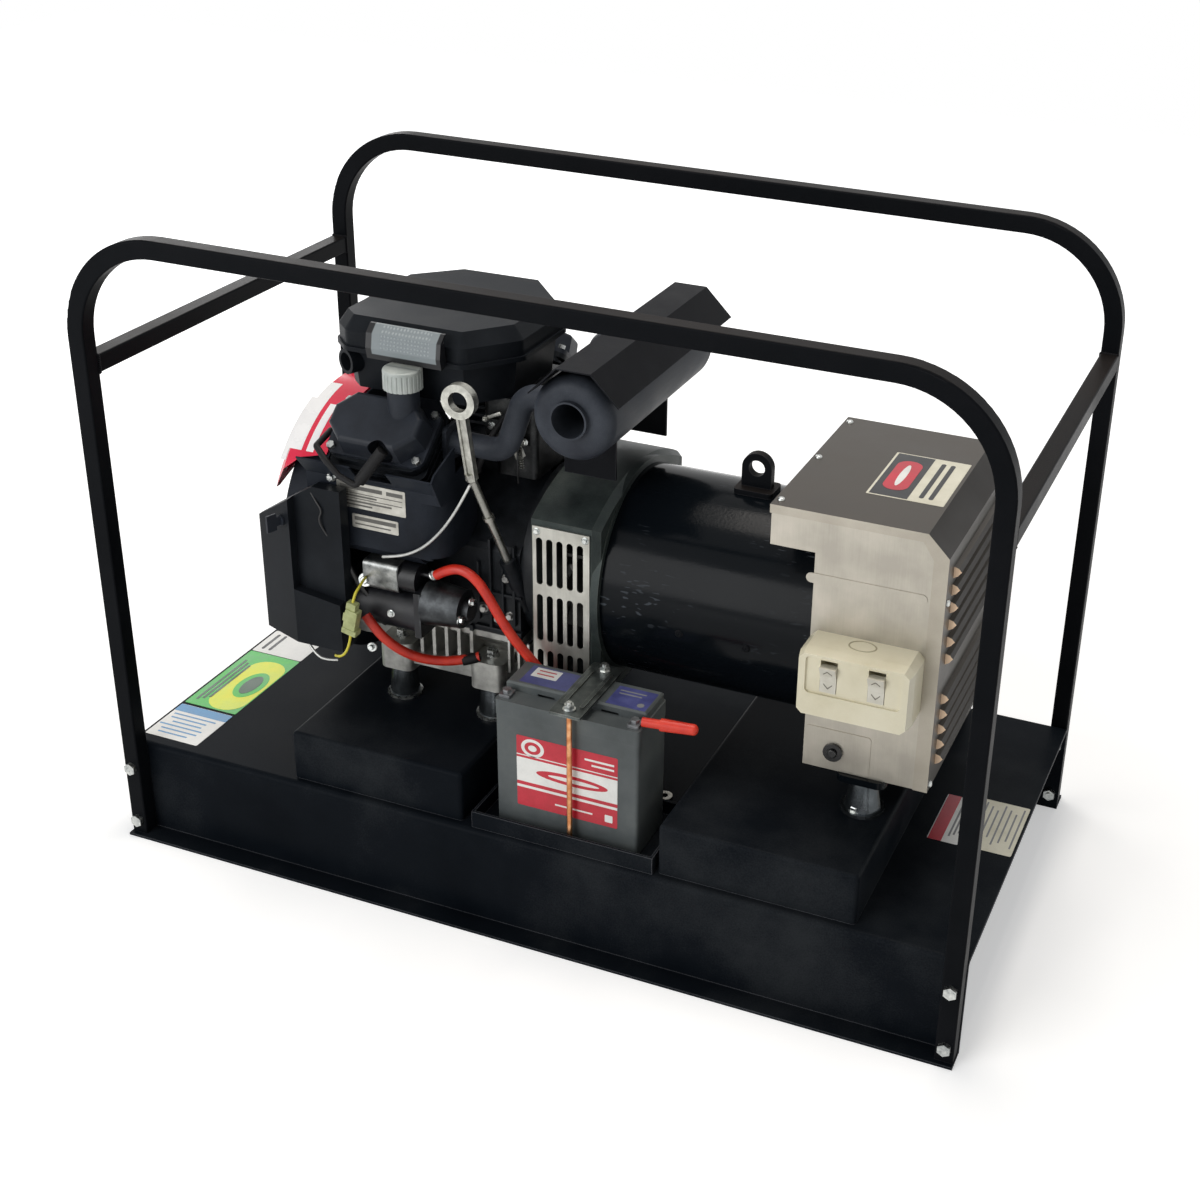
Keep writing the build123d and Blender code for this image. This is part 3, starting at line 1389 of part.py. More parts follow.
with BuildPart() as terminal_box:
    with BuildSketch(Plane.XZ):
        with BuildLine():
            Polyline(*box_profile(0), close=True)
        make_face()
    extrude(amount=box_half, both=True)
    with BuildSketch(Plane.XZ):
        with BuildLine():
            Polyline(
                (box_from + box_sheet, box_bottom + box_sheet),
                (box_to - box_sheet, box_bottom + box_sheet),
                (box_to - box_sheet, box_top - box_bevel - 0.4 * box_sheet),
                (box_to - box_bevel - 0.4 * box_sheet, box_top - box_sheet),
                (box_shelf_from + box_sheet, box_top - box_sheet),
                (box_shelf_from + box_sheet, box_shelf_bottom + box_sheet),
                (box_from + box_sheet, box_shelf_bottom + box_sheet),
                close=True,
            )
        make_face()
    extrude(amount=box_half - box_sheet, both=True, mode=Mode.SUBTRACT)
    # Open top, back and bottom inside a narrow flange; the cover closes the first two.
    with BuildSketch(Plane.XZ):
        with BuildLine():
            Polyline(
                (box_shelf_from + 14, box_top - 8),
                (box_shelf_from + 14, box_top + 20),
                (box_to + 20, box_top + 20),
                (box_to + 20, box_bottom + 14),
                (box_to - 8, box_bottom + 14),
                (box_to - 8, box_top - box_bevel - 8),
                (box_to - box_bevel - 8, box_top - 8),
                close=True,
            )
        make_face()
    extrude(amount=box_half - 14, both=True, mode=Mode.SUBTRACT)
    with BuildSketch(Plane.XY.offset(box_bottom - 5)):
        with Locations(((box_from + box_to) / 2, 0)):
            Rectangle(box_to - box_from - 28, 2 * box_half - 16)
    extrude(amount=10, mode=Mode.SUBTRACT)
    with BuildSketch(Plane.YZ.offset(box_from - 5)):
        with Locations((0, crank_z)):
            Circle(stator_radius + 1)
    extrude(amount=10, mode=Mode.SUBTRACT)
    with BuildSketch(Plane.XZ.offset(box_half + 5)):
        with Locations((reset_x, reset_z)):
            Circle(button_radius + button_gap)
    extrude(amount=-12, mode=Mode.SUBTRACT)
    # Shallow swage along the front, and the raised plate round the reset button.
    with BuildSketch(Plane.XZ.offset(box_half)):
        with Locations((box_from + 55, box_shelf_bottom - 28)):
            SlotOverall(box_to - box_from - 9, 11)
        with Locations((box_from + 37, box_bottom + 25)):
            RectangleRounded(72, 48, 4)
        with Locations((reset_x, reset_z)):
            Circle(button_radius + button_gap, mode=Mode.SUBTRACT)
    extrude(amount=0.8)
keep(terminal_box, "terminal_box")

louvre_half = box_half - 22.0
louvre_rise = 13.0
louvre_deep = 8.0
louvre_levels = [box_top - 46.0 - 19.6 * step for step in range(6)] + [box_bottom + 28.0 + 18.0 * step for step in range(5)]
with BuildPart() as terminal_box_cover:
    with BuildSketch(Plane.XZ):
        with BuildLine():
            Polyline(*box_profile(box_sheet), close=True)
        make_face()
    extrude(amount=box_half + box_sheet, both=True)
    with BuildSketch(Plane.XZ):
        with BuildLine():
            Polyline(*box_profile(0), close=True)
        make_face()
    extrude(amount=box_half, both=True, mode=Mode.SUBTRACT)
    with BuildSketch(Plane.XZ):
        with BuildLine():
            Polyline(
                (box_shelf_from - 20, box_top - lid_lip),
                (box_to - box_bevel - 4, box_top - lid_lip),
                (box_to - 14, box_top - box_bevel - 4),
                (box_to - 14, box_bottom - 20),
                (box_shelf_from - 20, box_bottom - 20),
                close=True,
            )
        make_face()
    extrude(amount=2 * box_half, both=True, mode=Mode.SUBTRACT)
    for level in louvre_levels:
        with BuildSketch(Plane.XZ.offset(-louvre_half)):
            with BuildLine():
                face_x = box_to + box_sheet
                Polyline(
                    (face_x - 0.5, level + louvre_rise / 2),
                    (face_x + louvre_deep * 0.6, level + louvre_rise / 2 - 1.5),
                    (face_x + louvre_deep, level + louvre_rise / 2 - 5),
                    (face_x + louvre_deep * 0.55, level - louvre_rise / 2 + 3),
                    (face_x - 0.5, level - louvre_rise / 2),
                    close=True,
                )
            make_face()
        extrude(amount=2 * louvre_half)
keep(terminal_box_cover, "terminal_box_cover")

# ================================================================ breaker enclosure and rockers
enclosure_x = (enclosure_from + enclosure_to) / 2
enclosure_z = (enclosure_low + enclosure_high) / 2
enclosure_front = box_half + enclosure_depth
rocker_x = (enclosure_x - 26.0, enclosure_x + 24.0)
rocker_z = enclosure_z + 11.5
rocker_y = -(enclosure_front - 9.0)
with BuildPart() as breaker_enclosure:
    with BuildSketch(Plane.XZ.offset(box_half)) as base_outline:
        with Locations((enclosure_x, enclosure_z)):
            Rectangle(enclosure_to - enclosure_from, enclosure_high - enclosure_low)
        chamfer(base_outline.vertices(), 7)
    extrude(amount=enclosure_depth - enclosure_bevel)
    with BuildSketch(Plane.XZ.offset(enclosure_front - enclosure_bevel)) as face_outline:
        with Locations((enclosure_x, enclosure_z)):
            Rectangle(enclosure_to - enclosure_from, enclosure_high - enclosure_low)
        chamfer(face_outline.vertices(), 7)
    extrude(amount=enclosure_bevel, taper=12)
    # Dished face with a pocket for each rocker.
    with BuildSketch(Plane.XZ.offset(enclosure_front)):
        with Locations((enclosure_x, rocker_z)):
            RectangleRounded(enclosure_to - enclosure_from - 20, 2 * rocker_half + 11, 5)
    extrude(amount=-enclosure_dish, mode=Mode.SUBTRACT)
    with BuildSketch(Plane.XZ.offset(enclosure_front)):
        with Locations(*[(x, rocker_z) for x in rocker_x]):
            Rectangle(rocker_width + 2 * rocker_gap, 2 * (rocker_half + 2.4))
    extrude(amount=-24.0, mode=Mode.SUBTRACT)
keep(breaker_enclosure, "breaker_enclosure")


def make_rocker(x, name):
    """Rocker with a dished face, tilted to its ON side, turning about a cross pin."""
    lean = math.radians(rocker_tilt)
    plane = Plane(
        origin=(x - rocker_width / 2, rocker_y, rocker_z),
        x_dir=(0, math.cos(lean), math.sin(lean)),
        z_dir=(1, 0, 0),
    )
    with BuildPart() as rocker:
        with BuildSketch(plane):
            with BuildLine():
                Polyline(
                    (-11, -rocker_half),
                    (-8, -3),
                    (-8, 3),
                    (-11, rocker_half),
                    (1, rocker_half - 4),
                    (1, 4 - rocker_half),
                    close=True,
                )
            make_face()
            Circle(7.5)
        extrude(amount=rocker_width)
    keep(rocker, name)


make_rocker(rocker_x[0], "breaker_rocker_left")
make_rocker(rocker_x[1], "breaker_rocker_right")

bezel_front = box_half + 4.0
with BuildPart() as reset_breaker:
    with BuildSketch(Plane.XZ.offset(box_half + 0.8)):
        with Locations((reset_x, reset_z)):
            Circle(10.5)
            Circle(button_radius + button_gap, mode=Mode.SUBTRACT)
    extrude(amount=3.2)
keep(reset_breaker, "reset_breaker")

with BuildPart() as reset_button:
    with BuildSketch(Plane.XZ.offset(bezel_front + 3)):
        with Locations((reset_x, reset_z)):
            Circle(button_radius)
    extrude(amount=-6.0)
    fillet(reset_button.faces().sort_by(Axis.Y)[0].edges(), 1.2)
keep(reset_button, "reset_button")

# ================================================================ leads


def lead(points, name):
    """Round cable along straight runs joined by tangent arcs as large as the runs allow."""
    points = [Vector(*point) for point in points]
    radii = []
    for before, here, after in zip(points, points[1:], points[2:]):
        turn = (here - before).get_angle(after - here)
        run = min((here - before).length, (after - here).length)
        radii.append(0.45 * run / math.tan(math.radians(turn / 2)))
    print(name, "radii", [round(radius, 1) for radius in radii])
    with BuildPart() as tube_part:
        with BuildLine() as route:
            FilletPolyline(*points, radius=radii)
        with BuildSketch(Plane(origin=points[0], z_dir=points[1] - points[0])):
            Circle(cable_diameter / 2)
        sweep(path=route.line)
    run_length = sum(edge.length for edge in route.edges())
    section = math.pi * cable_diameter**2 / 4
    print(name, "length", round(run_length, 1), "volume ratio", round(tube_part.part.volume / section / run_length, 4))
    keep(tube_part, name)


starter_lead_points = (
    (-139, -151, 369),
    (-124, -153, 380),
    (-104, -154, 385),
    (-86, -154, 374),
    (-73, -152, 352),
    (-61, -149, 328),
    (-47, -144, 303),
    (-31, -137, 280),
    (-14, -133, 256),
    (2, -131, 228),
    (16, -126, 200),
    (29, -117, 172),
    (44, -108, 147),
    (64, -102, 131.5),
    (88, -99, 127),
)
lead(starter_lead_points, "starter_lead")

lug_start = Vector(*starter_lead_points[-1])
lug_dir = (lug_start - Vector(*starter_lead_points[-2])).normalized()
with BuildPart() as starter_lead_lug:
    with BuildSketch(Plane(origin=lug_start, z_dir=lug_dir)):
        Circle(5.5)
    extrude(amount=16)
    with BuildSketch(Plane.XY.offset(deck_height + 0.2)):
        with Locations((lug_start.X + 24, lug_start.Y + 1.5)):
            Circle(9)
            Circle(4.2, mode=Mode.SUBTRACT)
        with Locations((lug_start.X + 14, lug_start.Y + 1)):
            Rectangle(10, 10)
    extrude(amount=3)
keep(starter_lead_lug, "starter_lead_lug")

earth_lead_points = (
    (-214, -178, 316),
    (-200, -180, 300),
    (-183, -172, 280),
    (-166, -158, 264),
    (-146, -145, 257),
    (-124, -134, 257),
    (-104, -124, 262),
)
lead(earth_lead_points, "earth_lead")
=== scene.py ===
import functools
import math
import bmesh
import bpy
from mathutils import Matrix, Vector


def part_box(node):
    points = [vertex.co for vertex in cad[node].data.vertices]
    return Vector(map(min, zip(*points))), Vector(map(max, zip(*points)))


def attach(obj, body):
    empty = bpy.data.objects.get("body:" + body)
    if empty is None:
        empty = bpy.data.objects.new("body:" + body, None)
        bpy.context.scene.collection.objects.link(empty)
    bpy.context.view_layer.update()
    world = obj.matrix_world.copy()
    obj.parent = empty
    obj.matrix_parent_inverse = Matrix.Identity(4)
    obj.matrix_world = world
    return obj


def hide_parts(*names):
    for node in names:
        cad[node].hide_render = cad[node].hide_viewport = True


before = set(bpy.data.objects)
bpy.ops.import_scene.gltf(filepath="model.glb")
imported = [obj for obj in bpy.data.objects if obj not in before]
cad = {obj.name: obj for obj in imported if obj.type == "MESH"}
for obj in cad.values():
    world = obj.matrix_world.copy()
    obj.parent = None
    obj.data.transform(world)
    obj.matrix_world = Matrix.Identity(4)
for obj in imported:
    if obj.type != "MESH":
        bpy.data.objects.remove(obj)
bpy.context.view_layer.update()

# ------------ studio
# A matt white floor that runs into a white backdrop, under large soft lamps. Both glow for camera, transmission
# and glossy rays, so that they are white without more light on the object, and the floor still takes its shadow.

# Most of a noise lies between these two values, so colours and gloss are spread over them.
noise_low, noise_high = 0.3, 0.7
noise_span = {"From Min": noise_low, "From Max": noise_high}


def hex_linear(code):
    """An sRGB hex colour as linear red, green, blue and alpha."""
    parts = [int(code[i:i + 2], 16) / 255 for i in (1, 3, 5)]
    return [c / 12.92 if c <= 0.04045 else ((c + 0.055) / 1.055) ** 2.4 for c in parts] + [1.0]


def spread(colours, low=noise_low, high=noise_high):
    """Ramp stops that spread hex colours, in one string, evenly between two values of a noise."""
    codes = colours.split()
    return [(low + (high - low) * i / (len(codes) - 1), code) for i, code in enumerate(codes)]


def put(tree, kind, settings=None, links=None):
    """Add one node, set its properties and inputs (or only its operation, given as text), and link what feeds it: an
    output, or a node for its first one."""
    node = tree.nodes.new("ShaderNode" + kind)
    if isinstance(settings, str):
        settings = {"operation": settings}
    for key, value in (settings or {}).items():
        if key == "stops":
            ramp = node.color_ramp
            while len(ramp.elements) < len(value):
                ramp.elements.new(0.5)
            for element, (place, code) in zip(ramp.elements, value):
                element.position = place
                element.color = hex_linear(code)
        elif isinstance(key, str) and hasattr(node, key):
            setattr(node, key, value)
        else:
            node.inputs[key].default_value = hex_linear(value) if isinstance(value, str) else value
    for key, source in (links or {}).items():
        tree.links.new(getattr(source, "outputs", [source])[0], node.inputs[key])
    return node


def bare_material(name):
    """A node material with nothing in it yet, and put for its tree."""
    material = bpy.data.materials.new(name)
    material.use_nodes = True
    material.node_tree.nodes.clear()
    return material, functools.partial(put, material.node_tree)


def placed(name, data, *materials):
    """Put curve or mesh data into the scene as an object with these materials."""
    obj = bpy.data.objects.new(name, data)
    bpy.context.scene.collection.objects.link(obj)
    for material in materials:
        data.materials.append(material)
    return obj


def sees_backdrop(add):
    """One for the rays that see the white backdrop: camera, transmission and glossy rays."""
    rays = add("LightPath").outputs
    straight = add("Math", "MAXIMUM", {0: rays["Is Camera Ray"], 1: rays["Is Transmission Ray"]})
    return add("Math", "MAXIMUM", {0: straight, 1: rays["Is Glossy Ray"]})


# The floor's glow grows with the distance in metres, from under the object, where its shadow lies, to the far floor.
glow_near, glow_far = (0.7, 0.40), (2.2, 0.85)
floor_half = 4.0
floor_paint, add = bare_material("matt_white_floor")
place = add("TexCoord").outputs["Object"]
reach = add("VectorMath", "LENGTH", {0: place}).outputs["Value"]
share = add("MapRange", {"From Min": glow_near[0], "From Max": glow_far[0], "To Min": glow_near[1],
                         "To Max": glow_far[1]}, {"Value": reach})
glow = add("Math", "MULTIPLY", {0: sees_backdrop(add), 1: share})
speckle = add("TexNoise", {"Scale": 3.0, "Detail": 3.0}, {"Vector": place})
tint = add("ValToRGB", {"stops": spread("#f1f1f0 #f8f8f8")}, {"Fac": speckle})
matt = add("BsdfDiffuse", {}, {"Color": tint})
light = add("Emission", {"Color": "#ffffff"}, {"Strength": glow})
both = add("AddShader", {}, {0: matt, 1: light})
add("OutputMaterial", {}, {"Surface": both})
sheet = bmesh.new()
corners = ((-1, -1), (1, -1), (1, 1), (-1, 1))
sheet.faces.new([sheet.verts.new((floor_half * x, floor_half * y, 0.0)) for x, y in corners])
data = bpy.data.meshes.new("studio_floor")
sheet.to_mesh(data)
sheet.free()
placed("studio_floor", data, floor_paint)

world = bpy.data.worlds.new("studio")
bpy.context.scene.world = world
world.use_nodes = True
world.node_tree.nodes.clear()
add = functools.partial(put, world.node_tree)
dim = add("Background", {"Color": "#e8ecf0", "Strength": 0.32})
white = add("Background", {"Color": "#ffffff"})
both = add("MixShader", {}, {0: sees_backdrop(add), 1: dim, 2: white})
add("OutputWorld", {}, {"Surface": both})


def lamp(name, spot, aim, size, power, colour="#ffffff"):
    """A square soft lamp at a spot, turned towards its aim."""
    light = bpy.data.lights.new(name, "AREA")
    light.size = size
    light.energy = power
    light.color = hex_linear(colour)[:3]
    holder = bpy.data.objects.new(name, light)
    holder.location = spot
    holder.rotation_euler = (Vector(aim) - Vector(spot)).to_track_quat("-Z", "Y").to_euler()
    bpy.context.scene.collection.objects.link(holder)


lamp("front_softbox", (-1.5, -3.0, 1.5), (0, 0, 0.25), 2.4, 62)
lamp("right_softbox", (3.0, -1.6, 1.3), (0.2, 0, 0.3), 1.2, 5, "#fff3e2")
lamp("overhead_panel", (0.0, 0.3, 2.8), (0, 0, 0.3), 1.2, 36, "#fff8f0")
lamp("rear_rim", (-2.4, 2.2, 1.4), (0, 0, 0.4), 1.2, 14)

# ------------ camera
# At the eye height of someone who stands in front of the right half and looks down at the set.
eye = (0.7563, -1.6787, 1.2696)
azimuth, elevation, roll = math.radians(20.79), math.radians(26.46), math.radians(1.92)
picture_width = 1200
focal_length, centre_x, centre_y = 1811.6, 709.0, 558.1  # in the same steps as the picture's width
back = Vector((math.sin(azimuth) * math.cos(elevation), -math.cos(azimuth) * math.cos(elevation), math.sin(elevation)))
level = Vector((math.cos(azimuth), math.sin(azimuth), 0))
rise = back.cross(level)
right = level * math.cos(roll) + rise * math.sin(roll)
up = rise * math.cos(roll) - level * math.sin(roll)
camera_data = bpy.data.cameras.new("viewer")
camera_data.sensor_width = 36.0
camera_data.lens = camera_data.sensor_width * focal_length / picture_width
camera_data.shift_x = (picture_width / 2 - centre_x) / picture_width
camera_data.shift_y = (centre_y - picture_width / 2) / picture_width
camera = bpy.data.objects.new("viewer", camera_data)
camera.matrix_world = Matrix.Translation(eye) @ Matrix((right, up, back)).transposed().to_4x4()
bpy.context.scene.collection.objects.link(camera)
bpy.context.scene.camera = camera
bpy.context.scene.view_settings.view_transform = "Standard"


# ------------ battery leads
# Two 11 mm battery cables, stranded copper in soft red PVC: the starter lead from the solenoid stud over the
# starter and down behind the battery to its ring lug, and the short earth lead across the starter's foot. Both
# are cut to length and crimped; the sheath has a dull shine and slight waves.

# The grain's share of a colour; the upward normal where the tint of dust and painted light on the tops starts;
# the radius in metres within which a corner is worn and takes a painted highlight, and the cosines between the face
# and its rounded corner where wear and highlight start and where they are full.
grain_share = 0.25
dust_and_painted_light_from = 0.75
wear_and_highlight_radius, wear_and_highlight_from, wear_and_highlight_full = 0.0016, 0.985, 0.80


def skin(name, colours, rough, patch_mm=30.0, grain_mm=0.8, bump=0.08, metal=0.0, dust_and_painted_light=None, edge=None, brush=None,
         level=0.5):
    """A surface with slow patches of colour and gloss and a fine grain, which is drawn coarser than the real one so
    that it shows. The tint for faces that look up is a colour and its share, standing for dust and for painted light
    on the tops; edge is a colour and its share on rounded corners, standing for wear and for a painted highlight along
    them; brush an axis that the grain is drawn out along, level the specular level of a coat that is dull for its
    gloss."""
    material, add = bare_material(name)
    where = add("TexCoord").outputs["Object"]
    patches = add("TexNoise", {"Scale": 1000.0 / patch_mm, "Detail": 4.0, "Roughness": 0.6}, {"Vector": where})
    if brush is not None:
        stretch = [1.0, 1.0, 1.0]
        stretch[brush] = 0.03
        where = add("VectorMath", {"operation": "MULTIPLY", 1: stretch}, {0: where})
    grain = add("TexNoise", {"Scale": 1000.0 / grain_mm, "Detail": 3.0, "Roughness": 0.6}, {"Vector": where})
    mixed = add("Math", {"operation": "MULTIPLY_ADD", 1: grain_share, 2: -grain_share / 2}, {0: grain})
    shade = add("Math", "ADD", {0: patches, 1: mixed})
    colour = add("ValToRGB", {"stops": spread(colours)}, {"Fac": shade})
    facing = add("NewGeometry").outputs["Normal"]
    # Faces that look up take a tint, for dust and for painted light on the tops.
    if dust_and_painted_light:
        height = add("SeparateXYZ", {}, {0: facing}).outputs["Z"]
        share = add("MapRange", {"From Min": dust_and_painted_light_from, "To Max": dust_and_painted_light[1]}, {"Value": height})
        broken = add("Math", "MULTIPLY", {0: share, 1: patches})
        colour = add("Mix", {"data_type": "RGBA", 7: dust_and_painted_light[0]}, {0: broken, 6: colour}).outputs[2]
    # Rounded corners take a paler colour, for wear and for a painted highlight along them.
    if edge:
        round_off = add("Bevel", {"samples": 4, "Radius": wear_and_highlight_radius})
        turn = add("VectorMath", "DOT_PRODUCT", {0: round_off, 1: facing}).outputs["Value"]
        wear_and_highlight = add("MapRange", {"From Min": wear_and_highlight_from, "From Max": wear_and_highlight_full, "To Max": edge[1]}, {"Value": turn})
        broken = add("Math", "MULTIPLY", {0: wear_and_highlight, 1: patches})
        colour = add("Mix", {"data_type": "RGBA", 7: edge[0]}, {0: broken, 6: colour}).outputs[2]
    gloss = add("MapRange", {**noise_span, "To Min": rough[0], "To Max": rough[1]}, {"Value": patches})
    relief = add("Bump", {"Strength": bump, "Distance": grain_mm / 1000.0}, {"Height": grain})
    shader = add("BsdfPrincipled", {"Metallic": metal, "Specular IOR Level": level},
                 {"Base Color": colour, "Roughness": gloss, "Normal": relief})
    add("OutputMaterial", {}, {"Surface": shader})
    return material


def coat(material, *names):
    """Give CAD pieces a single material."""
    for name in names:
        cad[name].data.materials.clear()
        cad[name].data.materials.append(material)


def cable(name, route, diameter, material, instead=None):
    """A cable on a smooth route, with its points and diameter in mm."""
    curve = bpy.data.curves.new(name, "CURVE")
    curve.dimensions = "3D"
    line = curve.splines.new("NURBS")
    line.points.add(len(route) - 1)
    for point, (x, y, z) in zip(line.points, route):
        point.co = (x / 1000, y / 1000, z / 1000, 1)
    line.order_u = 3
    line.use_endpoint_u = True
    curve.bevel_depth = diameter / 2000
    curve.bevel_resolution = 5
    curve.resolution_u = 10
    curve.use_fill_caps = True
    piece = placed(name, curve, material)
    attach(piece, "frame")
    if instead:
        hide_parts(instead)
    return piece


red_sheath = skin("soft_red_pvc_sheath", "#b51a0c #cf2c18 #d93e26", (0.34, 0.5), 25, 1.5, 0.1)
# The earth lead's sheath is the same red PVC, drawn darker as painted shade.
red_sheath_painted_shade = skin("soft_red_pvc_sheath_with_painted_shade", "#a41b0c #b92614 #c7341c", (0.36, 0.52), 22, 1.5, 0.1)
coat(skin("tinned_copper_lug", "#8f8b84 #b0aca2 #c2beb6", (0.25, 0.4), 8, 0.6, 0.08, 1.0), "starter_lead_lug")
starter_lead = cable("starter_lead_sheath", [
    (-139, -151, 369), (-124, -153, 380), (-104, -154, 385), (-86, -154, 374), (-73, -152, 352), (-61, -149, 328),
    (-47, -144, 303), (-31, -137, 280), (-14, -133, 256), (2, -131, 228), (16, -126, 200), (29, -117, 172),
    (44, -108, 147), (64, -102, 131.5), (88, -99, 127)], 11, red_sheath,
    instead="starter_lead")
earth_lead = cable("earth_lead_sheath", [
    (-214, -178, 316), (-200, -180, 300), (-183, -172, 280), (-166, -158, 264), (-146, -145, 257), (-124, -134, 257),
    (-104, -124, 262)], 11, red_sheath_painted_shade, instead="earth_lead")

# ------------ tube frame, deck and platforms
# Square steel tube bent cold and welded, on a deck and platforms of folded 3 mm sheet, all powder coated black.
# The coat levels to a faint orange peel with dull patches from handling; its folds are pale, from thin coat and from
# a painted highlight, and the faces that look up carry dust and painted light.


def from_bmesh(name, mesh, materials, body="frame", smooth_angle=None):
    """Turn a bmesh into a piece that rides on a body; faces that meet below the angle are shaded smooth."""
    data = bpy.data.meshes.new(name)
    bmesh.ops.recalc_face_normals(mesh, faces=mesh.faces)
    if smooth_angle:
        for face in mesh.faces:
            face.smooth = True
        for edge in mesh.edges:
            edge.smooth = len(edge.link_faces) == 2 and edge.calc_face_angle(0) < math.radians(smooth_angle)
    mesh.to_mesh(data)
    mesh.free()
    piece = placed(name, data, *materials)
    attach(piece, body)
    return piece


def turned(mesh, centre, axis, profile, count=28, start=0.0):
    """Add a turned or hexagonal form, closed at both ends: the profile is pairs of radius and height in mm."""
    axis = Vector(axis).normalized()
    side = axis.orthogonal().normalized()
    cross = axis.cross(side)
    angles = [math.tau * i / count + start for i in range(count)]
    spokes = [side * math.cos(angle) + cross * math.sin(angle) for angle in angles]
    rings = [[mesh.verts.new((Vector(centre) + axis * height + spoke * radius) / 1000) for spoke in spokes]
             for radius, height in profile]
    for low, high in zip(rings, rings[1:]):
        for i in range(count):
            mesh.faces.new((low[i], low[i - 1], high[i - 1], high[i]))
    mesh.faces.new(rings[0])
    mesh.faces.new(rings[-1][::-1])


def bolt_heads(name, spots, axis, across, height, material):
    """Hexagon heads with a bevelled top, on a flange or washer, at spots in mm."""
    mesh = bmesh.new()
    seat = 0.16 * across
    for spot in spots:
        turned(mesh, spot, axis, [(0.78 * across, -0.5), (0.78 * across, seat * 0.5), (0.66 * across, seat)])
        turned(mesh, spot, axis, [(0.577 * across, seat - 0.3), (0.577 * across, height * 0.84 + seat),
                                  (0.49 * across, height + seat)], 6, spot[0] * 0.7)
    return from_bmesh(name, mesh, [material], smooth_angle=32)


def rounded(width, height, radius=0.0, centre=(0, 0)):
    """The outline of a rectangle with round corners, in mm."""
    points = []
    for sx, sy, start in ((1, 1, 0), (-1, 1, 90), (-1, -1, 180), (1, -1, 270)):
        for turn in range(0, 91, 15) if radius else (0,):
            angle = math.radians(start + turn)
            points.append((centre[0] + sx * (width / 2 - radius) + radius * math.cos(angle),
                           centre[1] + sy * (height / 2 - radius) + radius * math.sin(angle)))
    return points


def oval(width, height, centre=(0, 0)):
    """The outline of an oval, in mm."""
    turns = [math.tau * i / 32 for i in range(32)]
    return [(centre[0] + width / 2 * math.cos(turn), centre[1] + height / 2 * math.sin(turn)) for turn in turns]


def printed(name, origin, thick, layers, along=(1, 0, 0), up=(0, 1, 0), body="frame"):
    """A film or plate this thick on a flat face, and prints on it: layers of (prints below, material, outlines in mm).
    Each is sunk 0.3 mm into the face, and a print stands 0.15 mm proud of what it lies on, so that it shows."""
    along, up = Vector(along).normalized(), Vector(up).normalized()
    out = along.cross(up)
    mesh = bmesh.new()
    materials = []
    for below, material, *outlines in layers:
        if material not in materials:
            materials.append(material)
        for points in outlines:
            low, high = [[mesh.verts.new((Vector(origin) + along * u + up * v + out * step) / 1000) for u, v in points]
                         for step in (-0.3, thick + 0.15 * below)]
            faces = [mesh.faces.new(high), mesh.faces.new(low[::-1])]
            faces += [mesh.faces.new((low[i - 1], low[i], high[i], high[i - 1])) for i in range(len(points))]
            for face in faces:
                face.material_index = materials.index(material)
    return from_bmesh(name, mesh, materials, body)


def film(name, colours, rough=(0.3, 0.45), patch_mm=30.0, grain_mm=2.0):
    """Printed vinyl: nearly even in colour, satin and almost flat."""
    return skin(name, colours, rough, patch_mm, grain_mm, 0.03)


powder_black = skin("semi_gloss_black_powder_coat", "#0a0c0f #0e1013 #131417", (0.3, 0.46), 140, 1.4, 0.10,
                    dust_and_painted_light=("#4a4038", 0.26), edge=("#4b4a4d", 0.75), level=0.03)
coat(powder_black, "front_hoop", "rear_hoop", "side_rails")
coat(skin("semi_gloss_black_powder_coat_on_sheet", "#0a0e13 #11151a #282b2e", (0.26, 0.5), 230, 1.6, 0.07,
          dust_and_painted_light=("#15181c", 0.3), edge=("#7d7f84", 0.9), level=0.02),
     "base_deck", "engine_platform", "alternator_platform", "battery_tray")
bright_zinc = skin("bright_zinc_plate", "#8d9192 #b9bcba #d6d7d3", (0.2, 0.38), 6, 0.5, 0.06, 1.0)
coat(bright_zinc, "hoop_bolts", "mount_bolts", "valve_cover_bolts")

# Weld beads where the side rails meet the hoops: one pass of round ripples under the same coat.
beads = bmesh.new()
rail_low, rail_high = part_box("side_rails")
frame_half = 500  # beads that would stand past the ends of the frame are left out
for x in (rail_low[0] * 1000 + 10, rail_high[0] * 1000 - 10):
    for y in (rail_low[1] * 1000, rail_high[1] * 1000):
        middle = (rail_low[2] + rail_high[2]) * 500
        inward = -1 if y > 0 else 1
        for step in range(40):
            side, share = divmod(step, 10)
            u, v = [(share * 2 - 9, -10), (10, share * 2 - 9), (9 - share * 2, 10), (-10, 9 - share * 2)][side]
            if abs(u) == 10 and abs(x + u) > frame_half - 1:
                continue
            bmesh.ops.create_icosphere(beads, subdivisions=1, radius=0.0017,
                                       matrix=Matrix.Translation(Vector((x + u, y + inward * 0.4, middle + v)) / 1000))
from_bmesh("rail_weld_beads", beads, [powder_black], smooth_angle=60)

# Printed film stuck to the deck: vinyl with a satin face, in plain panels and rules.
white_film = film("satin_white_vinyl", "#dcdcd8 #e8e8e4 #f0f0ec", patch_mm=40)
green_film = film("printed_green_vinyl", "#1fa22e #2fb63a #55c43c")
yellow_film = film("printed_yellow_vinyl", "#cfe01c #e0ea26 #f0ee3a")
dark_green_film = film("printed_dark_green_vinyl", "#0b3a1a #104824")
blue_film = film("printed_blue_vinyl", "#3f7fb0 #4f8fc0 #5c9ccb")
black_film = film("printed_black_vinyl", "#141416 #1b1b1e")
red_film = film("printed_red_vinyl", "#b0182a #c02034 #cb2c40", (0.28, 0.42), 40)
cream_film = film("cream_vinyl", "#cfcab4 #dad6c2 #e2decb")
grey_ink = film("printed_grey_ink", "#77787a #858688", (0.4, 0.5), 20)
deck_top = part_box("base_deck")[1][2] * 1000
